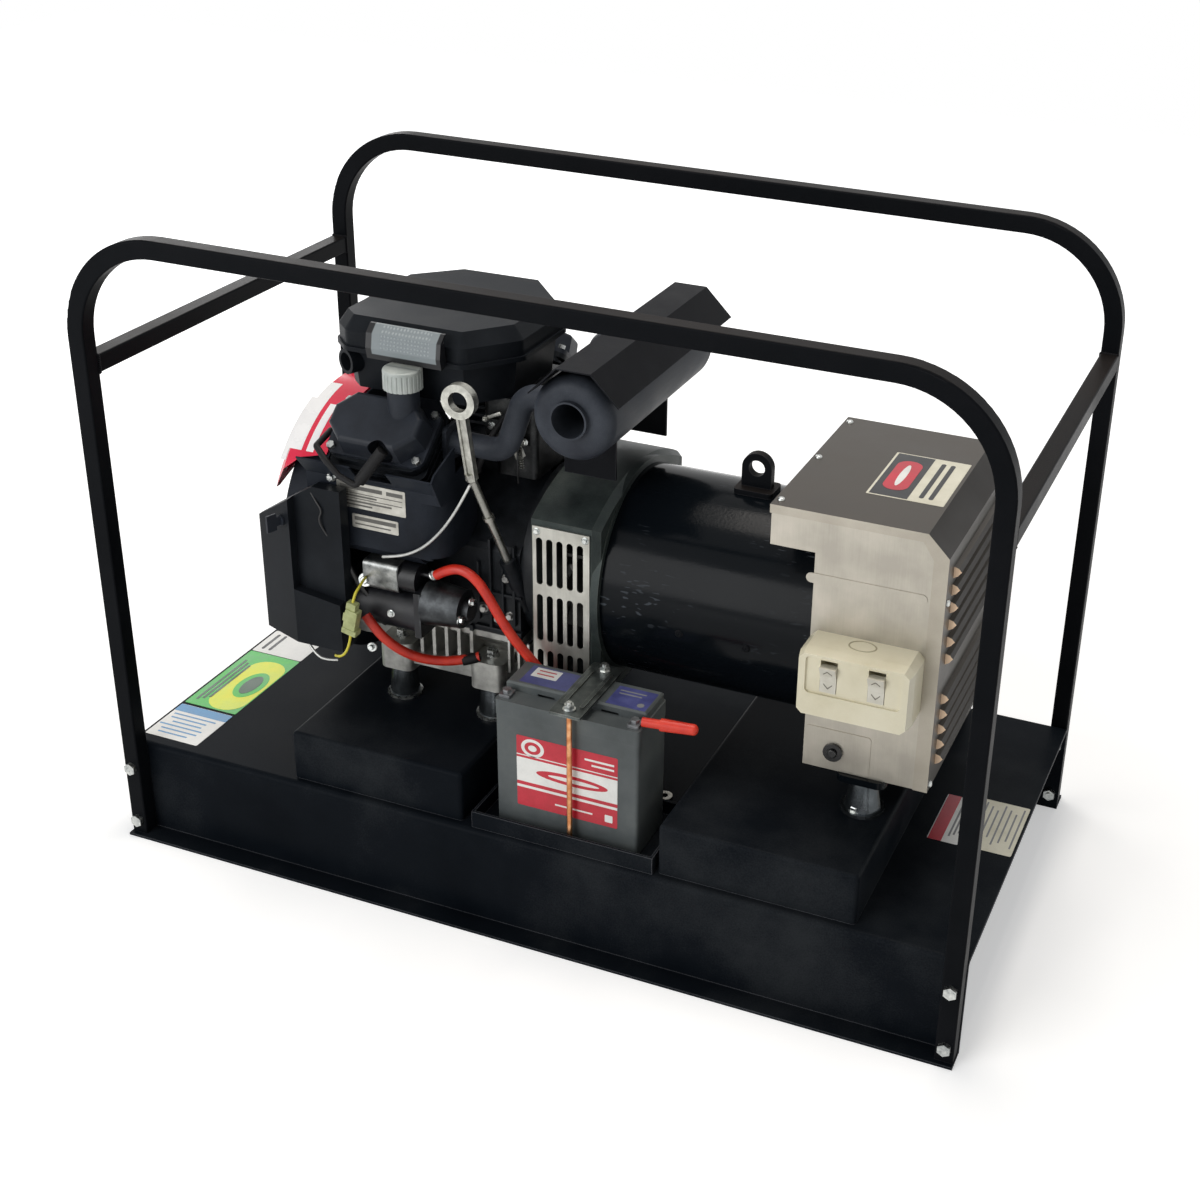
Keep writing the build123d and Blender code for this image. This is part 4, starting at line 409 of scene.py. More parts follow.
wide = 72.0
printed("deck_film_left", (-462, -187, deck_top), 0.25, [
    (0, white_film, rounded(wide, 72, 2)),
    (1, blue_film, rounded(wide, 15, 1, (0, 28)),
     *[rounded(wide - 14 - 9 * (row % 3), 2.4, 0, (-2 - 3 * (row % 2), 14 - 8 * row)) for row in range(6)])])
printed("deck_film_middle", (-462, -77, deck_top), 0.25, [
    (0, green_film, rounded(wide, 139, 2)),
    (1, yellow_film, rounded(wide - 22, 122, 24, (10, -6))),
    (2, green_film, oval(34, 62, (14, -4))),
    (3, dark_green_film, oval(20, 44, (14, -4))),
    *[(1 + (row > 1), dark_green_film, rounded(3.2, 104 - 10 * row, 0, (-27 + 6 * row, -6))) for row in range(3)]])
printed("deck_film_far", (-462, 22, deck_top), 0.25, [
    (0, white_film, rounded(wide, 56, 2)),
    (1, black_film, rounded(4, 40, 2, (-26, 0)), rounded(4, 40, 2, (-16, 0)))])
printed("deck_film_right_red", (422, -5, deck_top), 0.25, [
    (0, white_film, rounded(35, 93, 2)),
    (1, red_film, rounded(15, 93, 0, (-9, 0))),
    (1, grey_ink, *[rounded(2.2, 74 - 9 * (row % 3), 0, (4 + 4.5 * row, 3)) for row in range(3)])])
printed("deck_film_right_cream", (471, 0, deck_top), 0.25, [
    (0, cream_film, rounded(54, 99, 2)),
    (1, grey_ink, *[rounded(2.0, 80 - 12 * (row % 3), 0, (-20 + 7 * row, 4)) for row in range(7)])])

# ------------ battery
# Sealed lead-acid battery: grey moulded ABS case with a spark-eroded face and a lid welded on, held by a plated
# steel bar on two copper-washed rods. The bar is dull green-grey zinc, ribbed along its length.
coat(skin("moulded_grey_abs", "#454a4b #515657 #5d6261", (0.4, 0.54), 60, 0.6, 0.14, edge=("#6b6f70", 0.5),
          level=0.3), "battery_case", "battery_lid")
coat(skin("dull_lead_terminal", "#6d6f72 #8c8e90", (0.4, 0.55), 8, 0.8, 0.1, 1.0), "battery_terminals")
coat(red_sheath, "terminal_boot")
coat(skin("olive_zinc_plated_bar", "#3f4342 #515655 #686d6b", (0.3, 0.46), 16, 0.7, 0.1, 0.9,
          edge=("#b4b5ae", 0.8), brush=1), "battery_clamp_bar")

# The rods are copper washed; their nuts at the top are zinc plated, so the finish changes with height.
rod_finish, add = bare_material("copper_washed_rod_with_zinc_nuts")
place = add("TexCoord").outputs["Object"]
height = add("SeparateXYZ", {}, {0: place}).outputs["Z"]
nut = add("Math", {"operation": "GREATER_THAN", 1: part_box("battery_clamp_bar")[0][2]}, {0: height})
stain = add("TexNoise", {"Scale": 110.0, "Detail": 4.0}, {"Vector": place})
copper = add("ValToRGB", {"stops": spread("#a8653c #c98b5e #dfae84")}, {"Fac": stain})
plate = add("ValToRGB", {"stops": spread("#8d9192 #d6d7d3")}, {"Fac": stain})
colour = add("Mix", {"data_type": "RGBA"}, {0: nut, 6: copper, 7: plate}).outputs[2]
gloss = add("MapRange", {"To Min": 0.22, "To Max": 0.42}, {"Value": stain})
shader = add("BsdfPrincipled", {"Metallic": 1.0}, {"Base Color": colour, "Roughness": gloss})
add("OutputMaterial", {}, {"Surface": shader})
coat(rod_finish, "battery_clamp_rods")

face_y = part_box("battery_case")[0][1] * 1000
lilac_film = film("printed_violet_blue_vinyl", "#3c3f6e #474b80 #54588c", patch_mm=20, grain_mm=1.0)
printed("battery_front_film", (49.3, face_y, 195), 0.20, [
    (0, red_film, rounded(118, 88, 1.5)),
    (1, white_film, rounded(118, 30, 0, (0, 2)), rounded(118, 3.2, 0, (0, -19)), rounded(118, 1.2, 0, (0, 20.5)),
     oval(27, 22, (-40, 31)), rounded(34, 2.4, 0, (38, 34)), rounded(26, 2.4, 0, (42, 28)),
     rounded(44, 2.0, 0, (8, -33)), rounded(9, 9, 1, (49, -34))),
    (2, red_film, oval(19, 15, (-40, 31)), oval(84, 13, (6, 2))),
    (3, white_film, oval(10, 7.5, (-40, 31)), oval(60, 5, (8, 2)))], up=(0, 0, 1))
lid_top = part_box("battery_lid")[1][2] * 1000
printed("battery_top_film_left", (8.5, -173, lid_top), 0.20, [
    (0, lilac_film, rounded(57, 36, 1)),
    (1, white_film, rounded(30, 19, 1, (-7.5, 6))),
    (2, red_film, rounded(20, 2, 0, (-7.5, 10)), rounded(20, 2, 0, (-7.5, 3)))])
printed("battery_top_film_right", (104.5, -175, lid_top), 0.20, [
    (0, lilac_film, rounded(45, 38, 1)),
    (1, grey_ink, rounded(30, 2, 0, (-3, 11)), rounded(26, 2, 0, (-4, 5)), oval(8, 8, (14, -10)))])

# ------------ engine mounts and crankcase
# Die-cast crankcase: black heat-proof paint on the body, bare aluminium on the foot below the paint line, bolted
# down through moulded rubber mounts on pressed steel cups. The rubber is wet with oil; a high metallic value
# stands in for the film and gives its broad grey shine.

# How far the limit between two finishes wanders, and half the width over which one fades into the other, in metres.
wander, fade = 0.004, 0.0005


def split_finish(name, axis, limit, low, high, rough, metal, patch_mm, grain_mm, bump, level=0.2):
    """One casting in two finishes that meet at a ragged limit in metres along an axis: low and high are the colours
    below and above it, metal its two metallic values."""
    material, add = bare_material(name)
    place = add("TexCoord").outputs["Object"]
    along = add("SeparateXYZ", {}, {0: place}).outputs[axis]
    patches = add("TexNoise", {"Scale": 1000.0 / patch_mm, "Detail": 4.0, "Roughness": 0.6}, {"Vector": place})
    grain = add("TexNoise", {"Scale": 1000.0 / grain_mm, "Detail": 3.0}, {"Vector": place})
    ragged = add("Math", {"operation": "MULTIPLY_ADD", 1: wander}, {0: patches, 2: along})
    middle = limit + wander / 2
    above = add("MapRange", {"From Min": middle - fade, "From Max": middle + fade}, {"Value": ragged})
    tones = [add("ValToRGB", {"stops": spread(colours)}, {"Fac": patches}) for colours in (low, high)]
    colour = add("Mix", {"data_type": "RGBA"}, {0: above, 6: tones[0], 7: tones[1]}).outputs[2]
    sheen = add("MapRange", {"To Min": metal[0], "To Max": metal[1]}, {"Value": above})
    gloss = add("MapRange", {**noise_span, "To Min": rough[0], "To Max": rough[1]}, {"Value": patches})
    relief = add("Bump", {"Strength": bump, "Distance": grain_mm / 1000.0}, {"Height": grain})
    shader = add("BsdfPrincipled", {"Specular IOR Level": level},
                 {"Base Color": colour, "Metallic": sheen, "Roughness": gloss, "Normal": relief})
    add("OutputMaterial", {}, {"Surface": shader})
    return material


def block(mesh, centre, size, axes=((1, 0, 0), (0, 1, 0), (0, 0, 1)), chamfer=1.2):
    """Add a moulded block with cut edges: size along each of three axes, in mm."""
    result = bmesh.ops.create_cube(mesh, size=1.0)
    turn = Matrix([Vector(a).normalized() for a in axes]).transposed().to_4x4()
    scale = Matrix.Diagonal((*[s / 1000 for s in size], 1))
    bmesh.ops.transform(mesh, verts=result["verts"], matrix=Matrix.Translation(Vector(centre) / 1000) @ turn @ scale)
    edges = dict.fromkeys(edge for vert in result["verts"] for edge in vert.link_edges)
    bmesh.ops.bevel(mesh, geom=list(edges), offset=chamfer / 1000, segments=2, affect="EDGES", profile=0.6)


paint_line = 0.283
crankcase_finish = split_finish(
    "cast_aluminium_painted_black_above_the_foot", "Z", paint_line, "#858683 #a2a29e #b9b9b4",
    "#101316 #171a1e #1f2327", (0.34, 0.52), (0.95, 0.0), 22, 1.4, 0.22)
coat(crankcase_finish, "crankcase")

# Cast ribs, a boss and oilway plugs on both side walls, between the shroud and the bell.
ribs = bmesh.new()
for side in (-1, 1):
    for x, low, high in ((-112, 300, 372), (-97, 292, 402), (-82, 292, 392), (-68, 300, 398)):
        block(ribs, (x, side * 105, (low + high) / 2), (3.6, 8, high - low), chamfer=1.4)
    block(ribs, (-88, side * 105, 291), (58, 8, 4.5), chamfer=1.6)
    for x in (-74, -62, -50):
        block(ribs, (x, side * 106, 263), (3.4, 10, 44), chamfer=1.4)
    block(ribs, (-88, side * 105, 336), (58, 6, 3.6), chamfer=1.4)
    turned(ribs, (-104.5, side * 103, 316), (0, side, 0), [(9, -2), (9, 5), (7.6, 6.4)])
    turned(ribs, (-75, side * 103, 360), (0, side, 0), [(6.4, -2), (6.4, 7), (5, 8.4)])
from_bmesh("crankcase_ribs", ribs, [crankcase_finish], smooth_angle=34)
coat(skin("moulded_black_rubber_wet_with_oil", "#34383b #4b5053 #71767a", (0.12, 0.3), 36, 1.2, 0.12, 0.85),
     "rubber_mounts")
mount_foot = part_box("rubber_mounts")[0][2] * 1000
cups = bmesh.new()
for x, reach in ((-216, 100.5), (-100, 100.5), (345, 110)):
    for y in (-reach, reach):
        turned(cups, (x, y, mount_foot), (0, 0, 1), [(20.4, 0.1), (20.4, 3.0), (18.6, 3.6)], 36)
from_bmesh("mount_cups", cups, [bright_zinc], smooth_angle=40)

# ------------ cylinders, valve covers and shrouds
# Finned cylinders and sheet shrouds in satin black; the valve covers are moulded black nylon with a fine grain,
# each with its spark plug boot of black rubber and a moulded lead.
coat(skin("black_heat_proof_paint_on_casting", "#101316 #171a1e #1e2226", (0.34, 0.52), 40, 1.5, 0.24,
          edge=("#3c3f43", 0.6), level=0.1), "front_cylinder", "rear_cylinder")
coat(skin("satin_black_painted_sheet", "#171a20 #21252c #2b2f36", (0.34, 0.5), 90, 1.1, 0.1,
          edge=("#2c2e33", 0.5), level=0.07), "front_shroud", "rear_shroud", "fan_housing")
black_nylon = skin("fine_grain_black_nylon", "#1e2127 #252930 #2c3038", (0.34, 0.46), 60, 0.9, 0.14,
                   edge=("#34373e", 0.5), level=0.16)
coat(black_nylon, "front_valve_cover", "rear_valve_cover")
moulded_rubber = skin("moulded_black_rubber", "#0b0b0c #121214", (0.5, 0.66), 30, 1.0, 0.15, level=0.2)
coat(moulded_rubber, "spark_plug_caps")

# Two blank plates of brushed aluminium foil stuck to the front shroud, with ruled boxes and grey bars.
foil = skin("brushed_aluminium_foil_plate", "#8d8b84 #a6a49c #b9b7b0", (0.3, 0.42), 18, 0.5, 0.06, 0.75, brush=0)
foil_ink = skin("printed_dark_grey_ink_on_foil", "#4c4b48 #5a5955", (0.4, 0.5), 14, 0.6, 0.04, 0.3)
shroud_y = -163.0
printed("shroud_plate_large", (-208, shroud_y, 452), 0.5, [
    (0, foil, rounded(84, 30, 1.5)),
    (1, foil_ink, rounded(52, 4.5, 0, (-12, 9)), rounded(20, 4.5, 0, (29, 9)), rounded(76, 0.9, 0, (0, 2.5)),
     rounded(76, 0.9, 0, (0, -3.5)), rounded(44, 2.0, 0, (-15, -0.5)), rounded(62, 2.0, 0, (-6, -7)),
     rounded(38, 2.0, 0, (-18, -11)))], up=(0, 0, 1))
printed("shroud_plate_small", (-204.5, shroud_y, 422), 0.5, [
    (0, foil, rounded(57, 16, 1.5)),
    (1, foil_ink, rounded(51, 4.5, 0, (0, 3)), rounded(44, 1.6, 0, (-3, -3.4)))], up=(0, 0, 1))
bolt_heads("shroud_screws", [(-252, shroud_y, 402), (-256, shroud_y, 468)], (0, -1, 0), 7, 4, bright_zinc)

# ------------ oil filler and dipstick
# Pale grey polypropylene cap on the valve cover, waxy and nearly even, and a plated steel dipstick with a cast
# ring handle, whose tumbled face has a soft grey shine.
coat(skin("pale_grey_polypropylene", "#a0a7a3 #adb3af #b9beba", (0.34, 0.48), 20, 0.8, 0.07), "oil_filler_cap")
coat(skin("tumbled_zinc_die_casting", "#85857f #a2a29b #bdbdb5", (0.3, 0.46), 12, 0.9, 0.14, 0.95), "dipstick")
coat(skin("zinc_plated_drawn_tube", "#7d7d78 #92928c #a5a49d", (0.24, 0.36), 40, 0.7, 0.04, 0.95, brush=2),
     "dipstick_tube")

# ------------ fan cover
# Red glossy ABS moulding round the fan, screwed to its housing, with a plain white band printed along its rim.
# The gloss draws clear highlights along the curve.
white_print = skin("white_pad_print_on_abs", "#e9e9ea #f2f2f2", (0.2, 0.3), 40, 2.0, 0.03)
coat(skin("glossy_red_abs", "#c00f32 #d2163a #dc2748", (0.14, 0.24), 80, 1.2, 0.02), "fan_cover")
crank_height = 352.0
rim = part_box("fan_cover")[1][2] * 1000 - crank_height + 0.25


def rim_band(mesh, from_x, to_x, from_turn, to_turn, steps=18):
    """A strip 0.25 mm proud of the rim, between two angles in degrees from straight up towards the front."""
    rings = []
    for i in range(steps + 1):
        turn = math.radians(from_turn + (to_turn - from_turn) * i / steps)
        rings.append([mesh.verts.new((x / 1000, -radius * math.sin(turn) / 1000,
                                      (crank_height + radius * math.cos(turn)) / 1000))
                      for x, radius in ((from_x, rim), (to_x, rim), (to_x, rim - 0.6), (from_x, rim - 0.6))])
    for a, b in zip(rings, rings[1:]):
        for i in range(4):
            mesh.faces.new((a[i - 1], a[i], b[i], b[i - 1]))
    mesh.faces.new(rings[0])
    mesh.faces.new(rings[-1][::-1])


band = bmesh.new()
rim_band(band, -339, -324, 9, 45)
rim_band(band, -345.5, -339, 20, 50, 12)
rim_band(band, -318, -309, 22, 45, 10)
from_bmesh("fan_cover_white_band", band, [white_print], smooth_angle=30)
bolt_heads("fan_cover_screws", [(-300, -142, 433), (-300, -60, 505)], (0.3, -0.9, 0.3), 7, 3.5, bright_zinc)

# ------------ air cleaner and carburettor
# Black ABS box with a ribbed lid; the latch is a grey grip with moulded dimples, set in black arms. The fine
# grain of the mouldings keeps their highlights broad and dull.
coat(skin("fine_grain_black_abs", "#111418 #171a1e #1e2125", (0.36, 0.48), 70, 0.9, 0.14,
          edge=("#2b2d33", 0.5), level=0.07), "air_cleaner_base", "air_cleaner_cover", "control_box")
grip, add = bare_material("dimpled_grey_abs_grip_in_black_arms")
place = add("TexCoord").outputs["Object"]
parts = add("SeparateXYZ", {}, {0: place})
latch_low, latch_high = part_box("air_cleaner_latch")
# Half the width of the grip and of its dimpled field, and the heights of the black lip and of the field, in metres.
grip_half, field_half = 0.038, 0.0295
lip_z, field_z = latch_low[2] + 0.006, latch_low[2] + 0.012
middle = add("Math", {"operation": "SUBTRACT", 1: (latch_low[0] + latch_high[0]) / 2 + 0.001}, {0: parts.outputs["X"]})
aside = add("Math", "ABSOLUTE", {0: middle})
arm = add("MapRange", {"From Min": grip_half - fade, "From Max": grip_half + fade}, {"Value": aside})
low_edge = add("MapRange", {"From Min": lip_z + fade, "From Max": lip_z - fade}, {"Value": parts.outputs["Z"]})
frame_part = add("Math", "MAXIMUM", {0: arm, 1: low_edge})
rows = add("VectorMath", {"operation": "MULTIPLY", 1: (250.0, 0.0, 250.0)}, {0: place})  # dimples 4 mm apart
cells = add("TexVoronoi", {"Scale": 1.0, "Randomness": 0.15}, {"Vector": rows})
pit = add("MapRange", {"From Min": 0.1, "From Max": 0.38}, {"Value": cells})
inside = add("Math", {"operation": "LESS_THAN", 1: field_half}, {0: aside})
over_lip = add("Math", {"operation": "GREATER_THAN", 1: field_z}, {0: parts.outputs["Z"]})
field = add("Math", "MULTIPLY", {0: inside, 1: over_lip})
outside = add("Math", {"operation": "SUBTRACT", 0: 1.0}, {1: field})
flat = add("Math", "MAXIMUM", {0: pit, 1: outside})
tone = add("Mix", {"data_type": "RGBA", 6: "#a3abae", 7: "#838b8e"}, {0: flat}).outputs[2]
colour = add("Mix", {"data_type": "RGBA", 7: "#111215"}, {0: frame_part, 6: tone}).outputs[2]
gloss = add("MapRange", {"To Min": 0.46, "To Max": 0.38}, {"Value": frame_part})
relief = add("Bump", {"Strength": 0.6, "Distance": 0.001, "invert": True}, {"Height": flat})
shader = add("BsdfPrincipled", {"Specular IOR Level": 0.35},
             {"Base Color": colour, "Roughness": gloss, "Normal": relief})
add("OutputMaterial", {}, {"Surface": shader})
coat(grip, "air_cleaner_latch")
dull_alloy = skin("die_cast_alloy_darkened_by_heat", "#1b1c1d #2a2b2c #3f4040", (0.36, 0.52), 16, 0.9, 0.2, 0.9)
coat(dull_alloy, "carburettor")
machined = skin("machined_steel", "#6f6f6e #8a8987 #a4a39f", (0.26, 0.38), 12, 0.5, 0.08, 1.0)
coat(machined, "choke_lever", "crankshaft")
coat(black_nylon, "ignition_key")
coat(skin("cast_iron", "#22211f #2f2e2c #3b3a37", (0.5, 0.66), 25, 1.2, 0.3, 0.6), "flywheel", "rotor")

# Throttle rod, governor spring, fuel hose and carburettor screws beside the cleaner.
cable("governor_spring_rod", [(-66, -96, 470), (-63, -104, 500), (-64, -96, 528), (-70, -88, 548)], 2.2, dull_alloy)
fuel_hose = cable("fuel_hose", [(-120, -84, 470), (-112, -104, 478), (-100, -112, 500), (-92, -104, 524),
                                (-88, -86, 536)], 7, moulded_rubber)
alloy_bright = skin("bright_zinc_die_casting", "#6e6f6c #8b8b86 #a8a79f", (0.28, 0.42), 9, 0.7, 0.12, 0.9)
linkage = bmesh.new()
block(linkage, (-86, -84, 517), (24, 7, 18), chamfer=1.6)
block(linkage, (-72, -86, 506), (9, 8, 24), ((0.92, 0, 0.39), (0, 1, 0), (-0.39, 0, 0.92)))
block(linkage, (-100, -86, 538), (22, 3, 4), ((0.9, 0, 0.44), (0, 1, 0), (-0.44, 0, 0.9)), 0.8)
for spot, radius in (((-92, -86, 521), 4.6), ((-80, -86, 512), 3.4), ((-72, -89, 512), 3.8), ((-108, -86, 534), 3.2)):
    turned(linkage, spot, (0, -1, 0), [(radius, -1), (radius, 3.2), (radius * 0.8, 4.0), (radius * 0.5, 4.0),
                                       (radius * 0.5, 6)], 22)
for turn in range(9):
    turned(linkage, (-64 - turn * 0.4, -92 + turn * 0.3, 486 + turn * 2.6), (0.1, 0.1, 1),
           [(2.4, 0), (3.0, 0.8), (2.4, 1.6)], 16)
from_bmesh("carburettor_linkage", linkage, [alloy_bright], smooth_angle=40)
bolt_heads("carburettor_screws", [(x, -81.5, z) for x, z in ((-66, 512), (-82, 524), (-104, 524), (-104, 504))],
           (0, -1, 0), 6, 3, bright_zinc)

# ------------ starter, solenoid and engine harness
# Starter with a black painted body and a machined housing on the drive end, its solenoid in a plated can with a
# black cap; a white-grey ground wire, yellow wires to an olive connector and black hose hang beside them.
coat(split_finish("starter_black_paint_and_machined_drive_end", "X", -0.1515, "#0d0e10 #15161a #1b1c20",
                  "#2b2d2f #3b3d3f #505355", (0.34, 0.5), (0.0, 0.9), 14, 0.9, 0.12, 0.3), "starter_motor")
coat(split_finish("solenoid_plated_can_with_black_cap", "X", -0.1795, "#5c5e5e #808281 #a3a4a2",
                  "#0e0f10 #15161a", (0.26, 0.4), (0.95, 0.0), 12, 0.7, 0.08, 0.3), "starter_solenoid")
stud = bmesh.new()
turned(stud, (-144.3, -150, 366), (1, 0.1, 0.6), [(2.6, 0), (2.6, 9.0), (2.2, 9.6)], 20)
turned(stud, (-143.6, -149.9, 367), (1, 0.1, 0.6), [(6.2, -1), (6.2, 0.4)], 24)
turned(stud, (-143.4, -149.9, 367), (1, 0.1, 0.6), [(5.4, 0.2), (5.4, 4.2), (4.6, 5.0)], 6)
from_bmesh("solenoid_stud_and_nut", stud, [bright_zinc], smooth_angle=32)
bolt_heads("starter_through_bolts", [(-97.6, -150, 345), (-105.6, -163, 327)], (1, 0, 0), 7, 3.4, bright_zinc)
bolt_heads("starter_cap_screws", [(-187, -169.7, 320)], (0, -1, 0), 6, 2.4, bright_zinc)
grey_wire = skin("silver_grey_pvc_wire", "#a9aaa8 #c0c1be #d2d3cf", (0.26, 0.4), 20, 0.8, 0.05, 0.4)
yellow_wire = skin("yellow_pvc_wire", "#c9bd2e #d8cd45", (0.35, 0.5), 20, 0.8, 0.05)
black_wire = skin("black_pvc_wire", "#0c0c0d #151517", (0.35, 0.5), 20, 0.8, 0.08)
cable("earth_wire", [(-86.5, -165, 491.6), (-97, -167, 470), (-110, -168, 448), (-124, -168, 429), (-141, -168, 411),
                     (-160, -168, 398), (-178, -168, 391), (-197, -164, 385)], 3.2, grey_wire)
cable("yellow_wire_upper", [(-216, -199, 341), (-215, -196, 350), (-214, -186, 356), (-216, -174, 358),
                            (-220, -164, 355)], 3, yellow_wire)
cable("yellow_wire_lower", [(-221, -199, 303), (-223, -199, 290), (-230, -197, 275), (-240, -194, 265),
                            (-250, -188, 262)], 3, yellow_wire)
cable("black_sensor_wire", [(-224, -160, 334), (-219, -162, 325), (-215, -163, 316), (-210, -161, 303),
                            (-204, -154, 296)], 5, black_wire)
cable("breather_hose", [(-246, -164, 381), (-240, -166, 366), (-233, -166, 353), (-224, -164, 338), (-213, -160, 321),
                        (-203, -152, 306)], 6, black_wire)
cable("silver_wire_low", [(-288, -180, 262), (-280, -183, 255), (-268, -183, 249), (-254, -178, 250)], 3, grey_wire)
cable("choke_wire", [(-275, -180, 458), (-266, -183, 447), (-257, -184, 436), (-262, -185, 426), (-258, -184, 414),
                     (-250, -178, 396)], 2, black_wire)
olive_nylon = skin("olive_moulded_nylon", "#8e9460 #a2a872 #b1b684", (0.35, 0.48), 10, 0.7, 0.08)
connector = bmesh.new()
tilt = ((0.97, 0, -0.22), (0, 1, 0), (0.22, 0, 0.97))
block(connector, (-218, -199, 321), (15, 11, 24), tilt)
block(connector, (-216.5, -199, 337), (12, 9, 9), tilt)
block(connector, (-220.5, -199, 306), (18, 12, 7), tilt)
block(connector, (-225.5, -201, 324), (2.5, 6, 10), tilt, 0.5)
from_bmesh("harness_connector", connector, [olive_nylon], smooth_angle=35)
cream_nylon = skin("cream_moulded_nylon", "#b9b191 #cbc3a4", (0.35, 0.48), 10, 0.7, 0.08)
plug = bmesh.new()
block(plug, (-246.5, -165, 396), (6, 6, 19), ((0.94, 0, 0.34), (0, 1, 0), (-0.34, 0, 0.94)), 0.9)
from_bmesh("ignition_wire_plug", plug, [cream_nylon], smooth_angle=35)
clips = bmesh.new()
for spot, radius in (((-221, -163, 351.5), 8.0), ((-227, -148, 258), 5.6)):
    turned(clips, spot, (0.1, -1, 0.25), [(radius, 0), (radius, 2.0), (radius - 0.6, 2.4)])
    turned(clips, spot, (0.1, -1, 0.25), [(radius * 0.58, 2), (radius * 0.58, 5.5), (radius * 0.5, 6.2)], 6)
from_bmesh("ring_terminals", clips, [bright_zinc], smooth_angle=32)
shrink = bmesh.new()
turned(shrink, (-121, -132.5, 257.2), (0.86, 0.45, 0.22), [(6.1, 0), (6.3, 2), (6.3, 15), (5.4, 19), (3.4, 21)], 24)
from_bmesh("earth_lead_heat_shrink", shrink, [moulded_rubber], smooth_angle=40)
for side, name in ((-1, "crankcase_bolts_front"), (1, "crankcase_bolts_rear")):
    spots = [(-104.5, side * 109, 316), (-75, side * 111, 360), (-90, side * 104, 304), (-75, side * 104, 310)]
    bolt_heads(name, spots, (0, side, 0), 7, 3.6, machined)

# ------------ exhaust
# Welded steel pipes and muffler in heat-proof black that goes slate grey and dull with use, under a folded
# shield in satin black.
coat(skin("slate_heat_proof_paint", "#2b2e35 #363a41 #42464d", (0.38, 0.55), 50, 1.3, 0.14,
          edge=("#3b3e46", 0.5), level=0.12), "muffler", "exhaust_pipes")
coat(skin("satin_black_paint_on_shield", "#121316 #17181b #1e1f22", (0.32, 0.5), 60, 1.3, 0.1,
          dust_and_painted_light=("#26262a", 0.3), edge=("#4a4b50", 0.7), level=0.03), "heat_shield", "muffler_bracket")

# ------------ alternator
# Rolled steel barrel in gloss black enamel with fine scuffs, a grey-green cast adapter with stamped steel grilles
# on both sides, and a forged lifting eye on top.

# Hairline scuffs lie in patches about 110 mm wide; they are drawn 1.4 mm wide, coarser than real ones, so that
# they show. The enamel's orange peel is 3 mm wide.
barrel, add = bare_material("gloss_black_enamel_with_scuffs")
place = add("TexCoord").outputs["Object"]
clouds = add("TexNoise", {"Scale": 9.0, "Detail": 3.0}, {"Vector": place})
swirl = add("VectorMath", {"operation": "MULTIPLY", 1: (60.0, 700.0, 160.0)}, {0: place})
turned_over = add("VectorRotate", {"rotation_type": "Y_AXIS", "Angle": 0.7}, {"Vector": swirl})
lines = add("TexNoise", {"Scale": 1.0, "Detail": 1.0, "Distortion": 0.4}, {"Vector": turned_over})
hair = add("MapRange", {"From Min": 0.64, "From Max": 0.68}, {"Value": lines})
zone = add("MapRange", {"From Min": 0.5, "From Max": 0.66}, {"Value": clouds})
scuff = add("Math", "MULTIPLY", {0: hair, 1: zone})
peel = add("TexNoise", {"Scale": 320.0}, {"Vector": place})
colour = add("Mix", {"data_type": "RGBA", 6: "#0a0e12", 7: "#454a50"}, {0: scuff}).outputs[2]
base_gloss = add("MapRange", {**noise_span, "To Min": 0.10, "To Max": 0.24}, {"Value": clouds})
gloss = add("Math", {"operation": "MULTIPLY_ADD", 1: 0.25}, {0: scuff, 2: base_gloss})
relief = add("Bump", {"Strength": 0.03, "Distance": 0.002}, {"Height": peel})
shader = add("BsdfPrincipled", {"Specular IOR Level": 0.09},
             {"Base Color": colour, "Roughness": gloss, "Normal": relief})
add("OutputMaterial", {}, {"Surface": shader})
coat(barrel, "stator_housing")
coat(powder_black, "lifting_eye")
coat(skin("sand_cast_aluminium_grey_green_paint", "#272d2d #323938 #3f4543", (0.38, 0.54), 34, 1.6, 0.26,
          0.35, edge=("#62665f", 0.6), level=0.2), "adapter_bell")
coat(skin("stamped_zinc_coated_sheet", "#97968f #a9a8a1 #bab9b2", (0.3, 0.42), 40, 0.7, 0.05, 0.85,
          edge=("#c8c6be", 0.6), brush=2), "vent_grilles")
grille_low, grille_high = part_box("vent_grilles")
corner_spots = [(x, z) for x in (-33, 24) for z in (grille_low[2] * 1000 + 6, grille_high[2] * 1000 - 6)]
for name, face, side in (("grille_screws_front", grille_low[1], -1), ("grille_screws_rear", grille_high[1], 1)):
    bolt_heads(name, [(x, face * 1000, z) for x, z in corner_spots], (0, side, 0), 5.4, 2.2, bright_zinc)
barrel_radius = 116.6
pole_screws = bmesh.new()
for x in (132, 208):
    for turn in (95, 265):
        out = Vector((0, -math.sin(math.radians(turn)), math.cos(math.radians(turn))))
        seat = Vector((x, 0, crank_height)) + out * barrel_radius
        turned(pole_screws, seat, out, [(4.6, -0.5), (4.6, 0.8), (3.4, 1.8)], 24)
        turned(pole_screws, seat, out, [(2.0, 1.5), (2.0, 2.1)], 6)
from_bmesh("barrel_pole_screws", pole_screws, [powder_black], smooth_angle=40)
nuts = bmesh.new()
for y in (-125, 125):
    turned(nuts, (341, y, mount_foot + 3.4), (0, 0, 1), [(7.2, 0), (7.2, 1.2)])
    turned(nuts, (341, y, mount_foot + 4.4), (0, 0, 1), [(5.6, 0), (5.6, 4.6), (4.8, 5.6)], 6)
from_bmesh("alternator_mount_nuts", nuts, [bright_zinc], smooth_angle=32)

# ------------ terminal box
# Bare steel sheet, folded and brushed: a fixed front with a shallow swage, and a lid over the top and the end with
# pressed louvres. The lid's top and end are darkened by painted shade, and the cut ends of its louvres carry a painted
# highlight. Pan-head screws hold the lid.

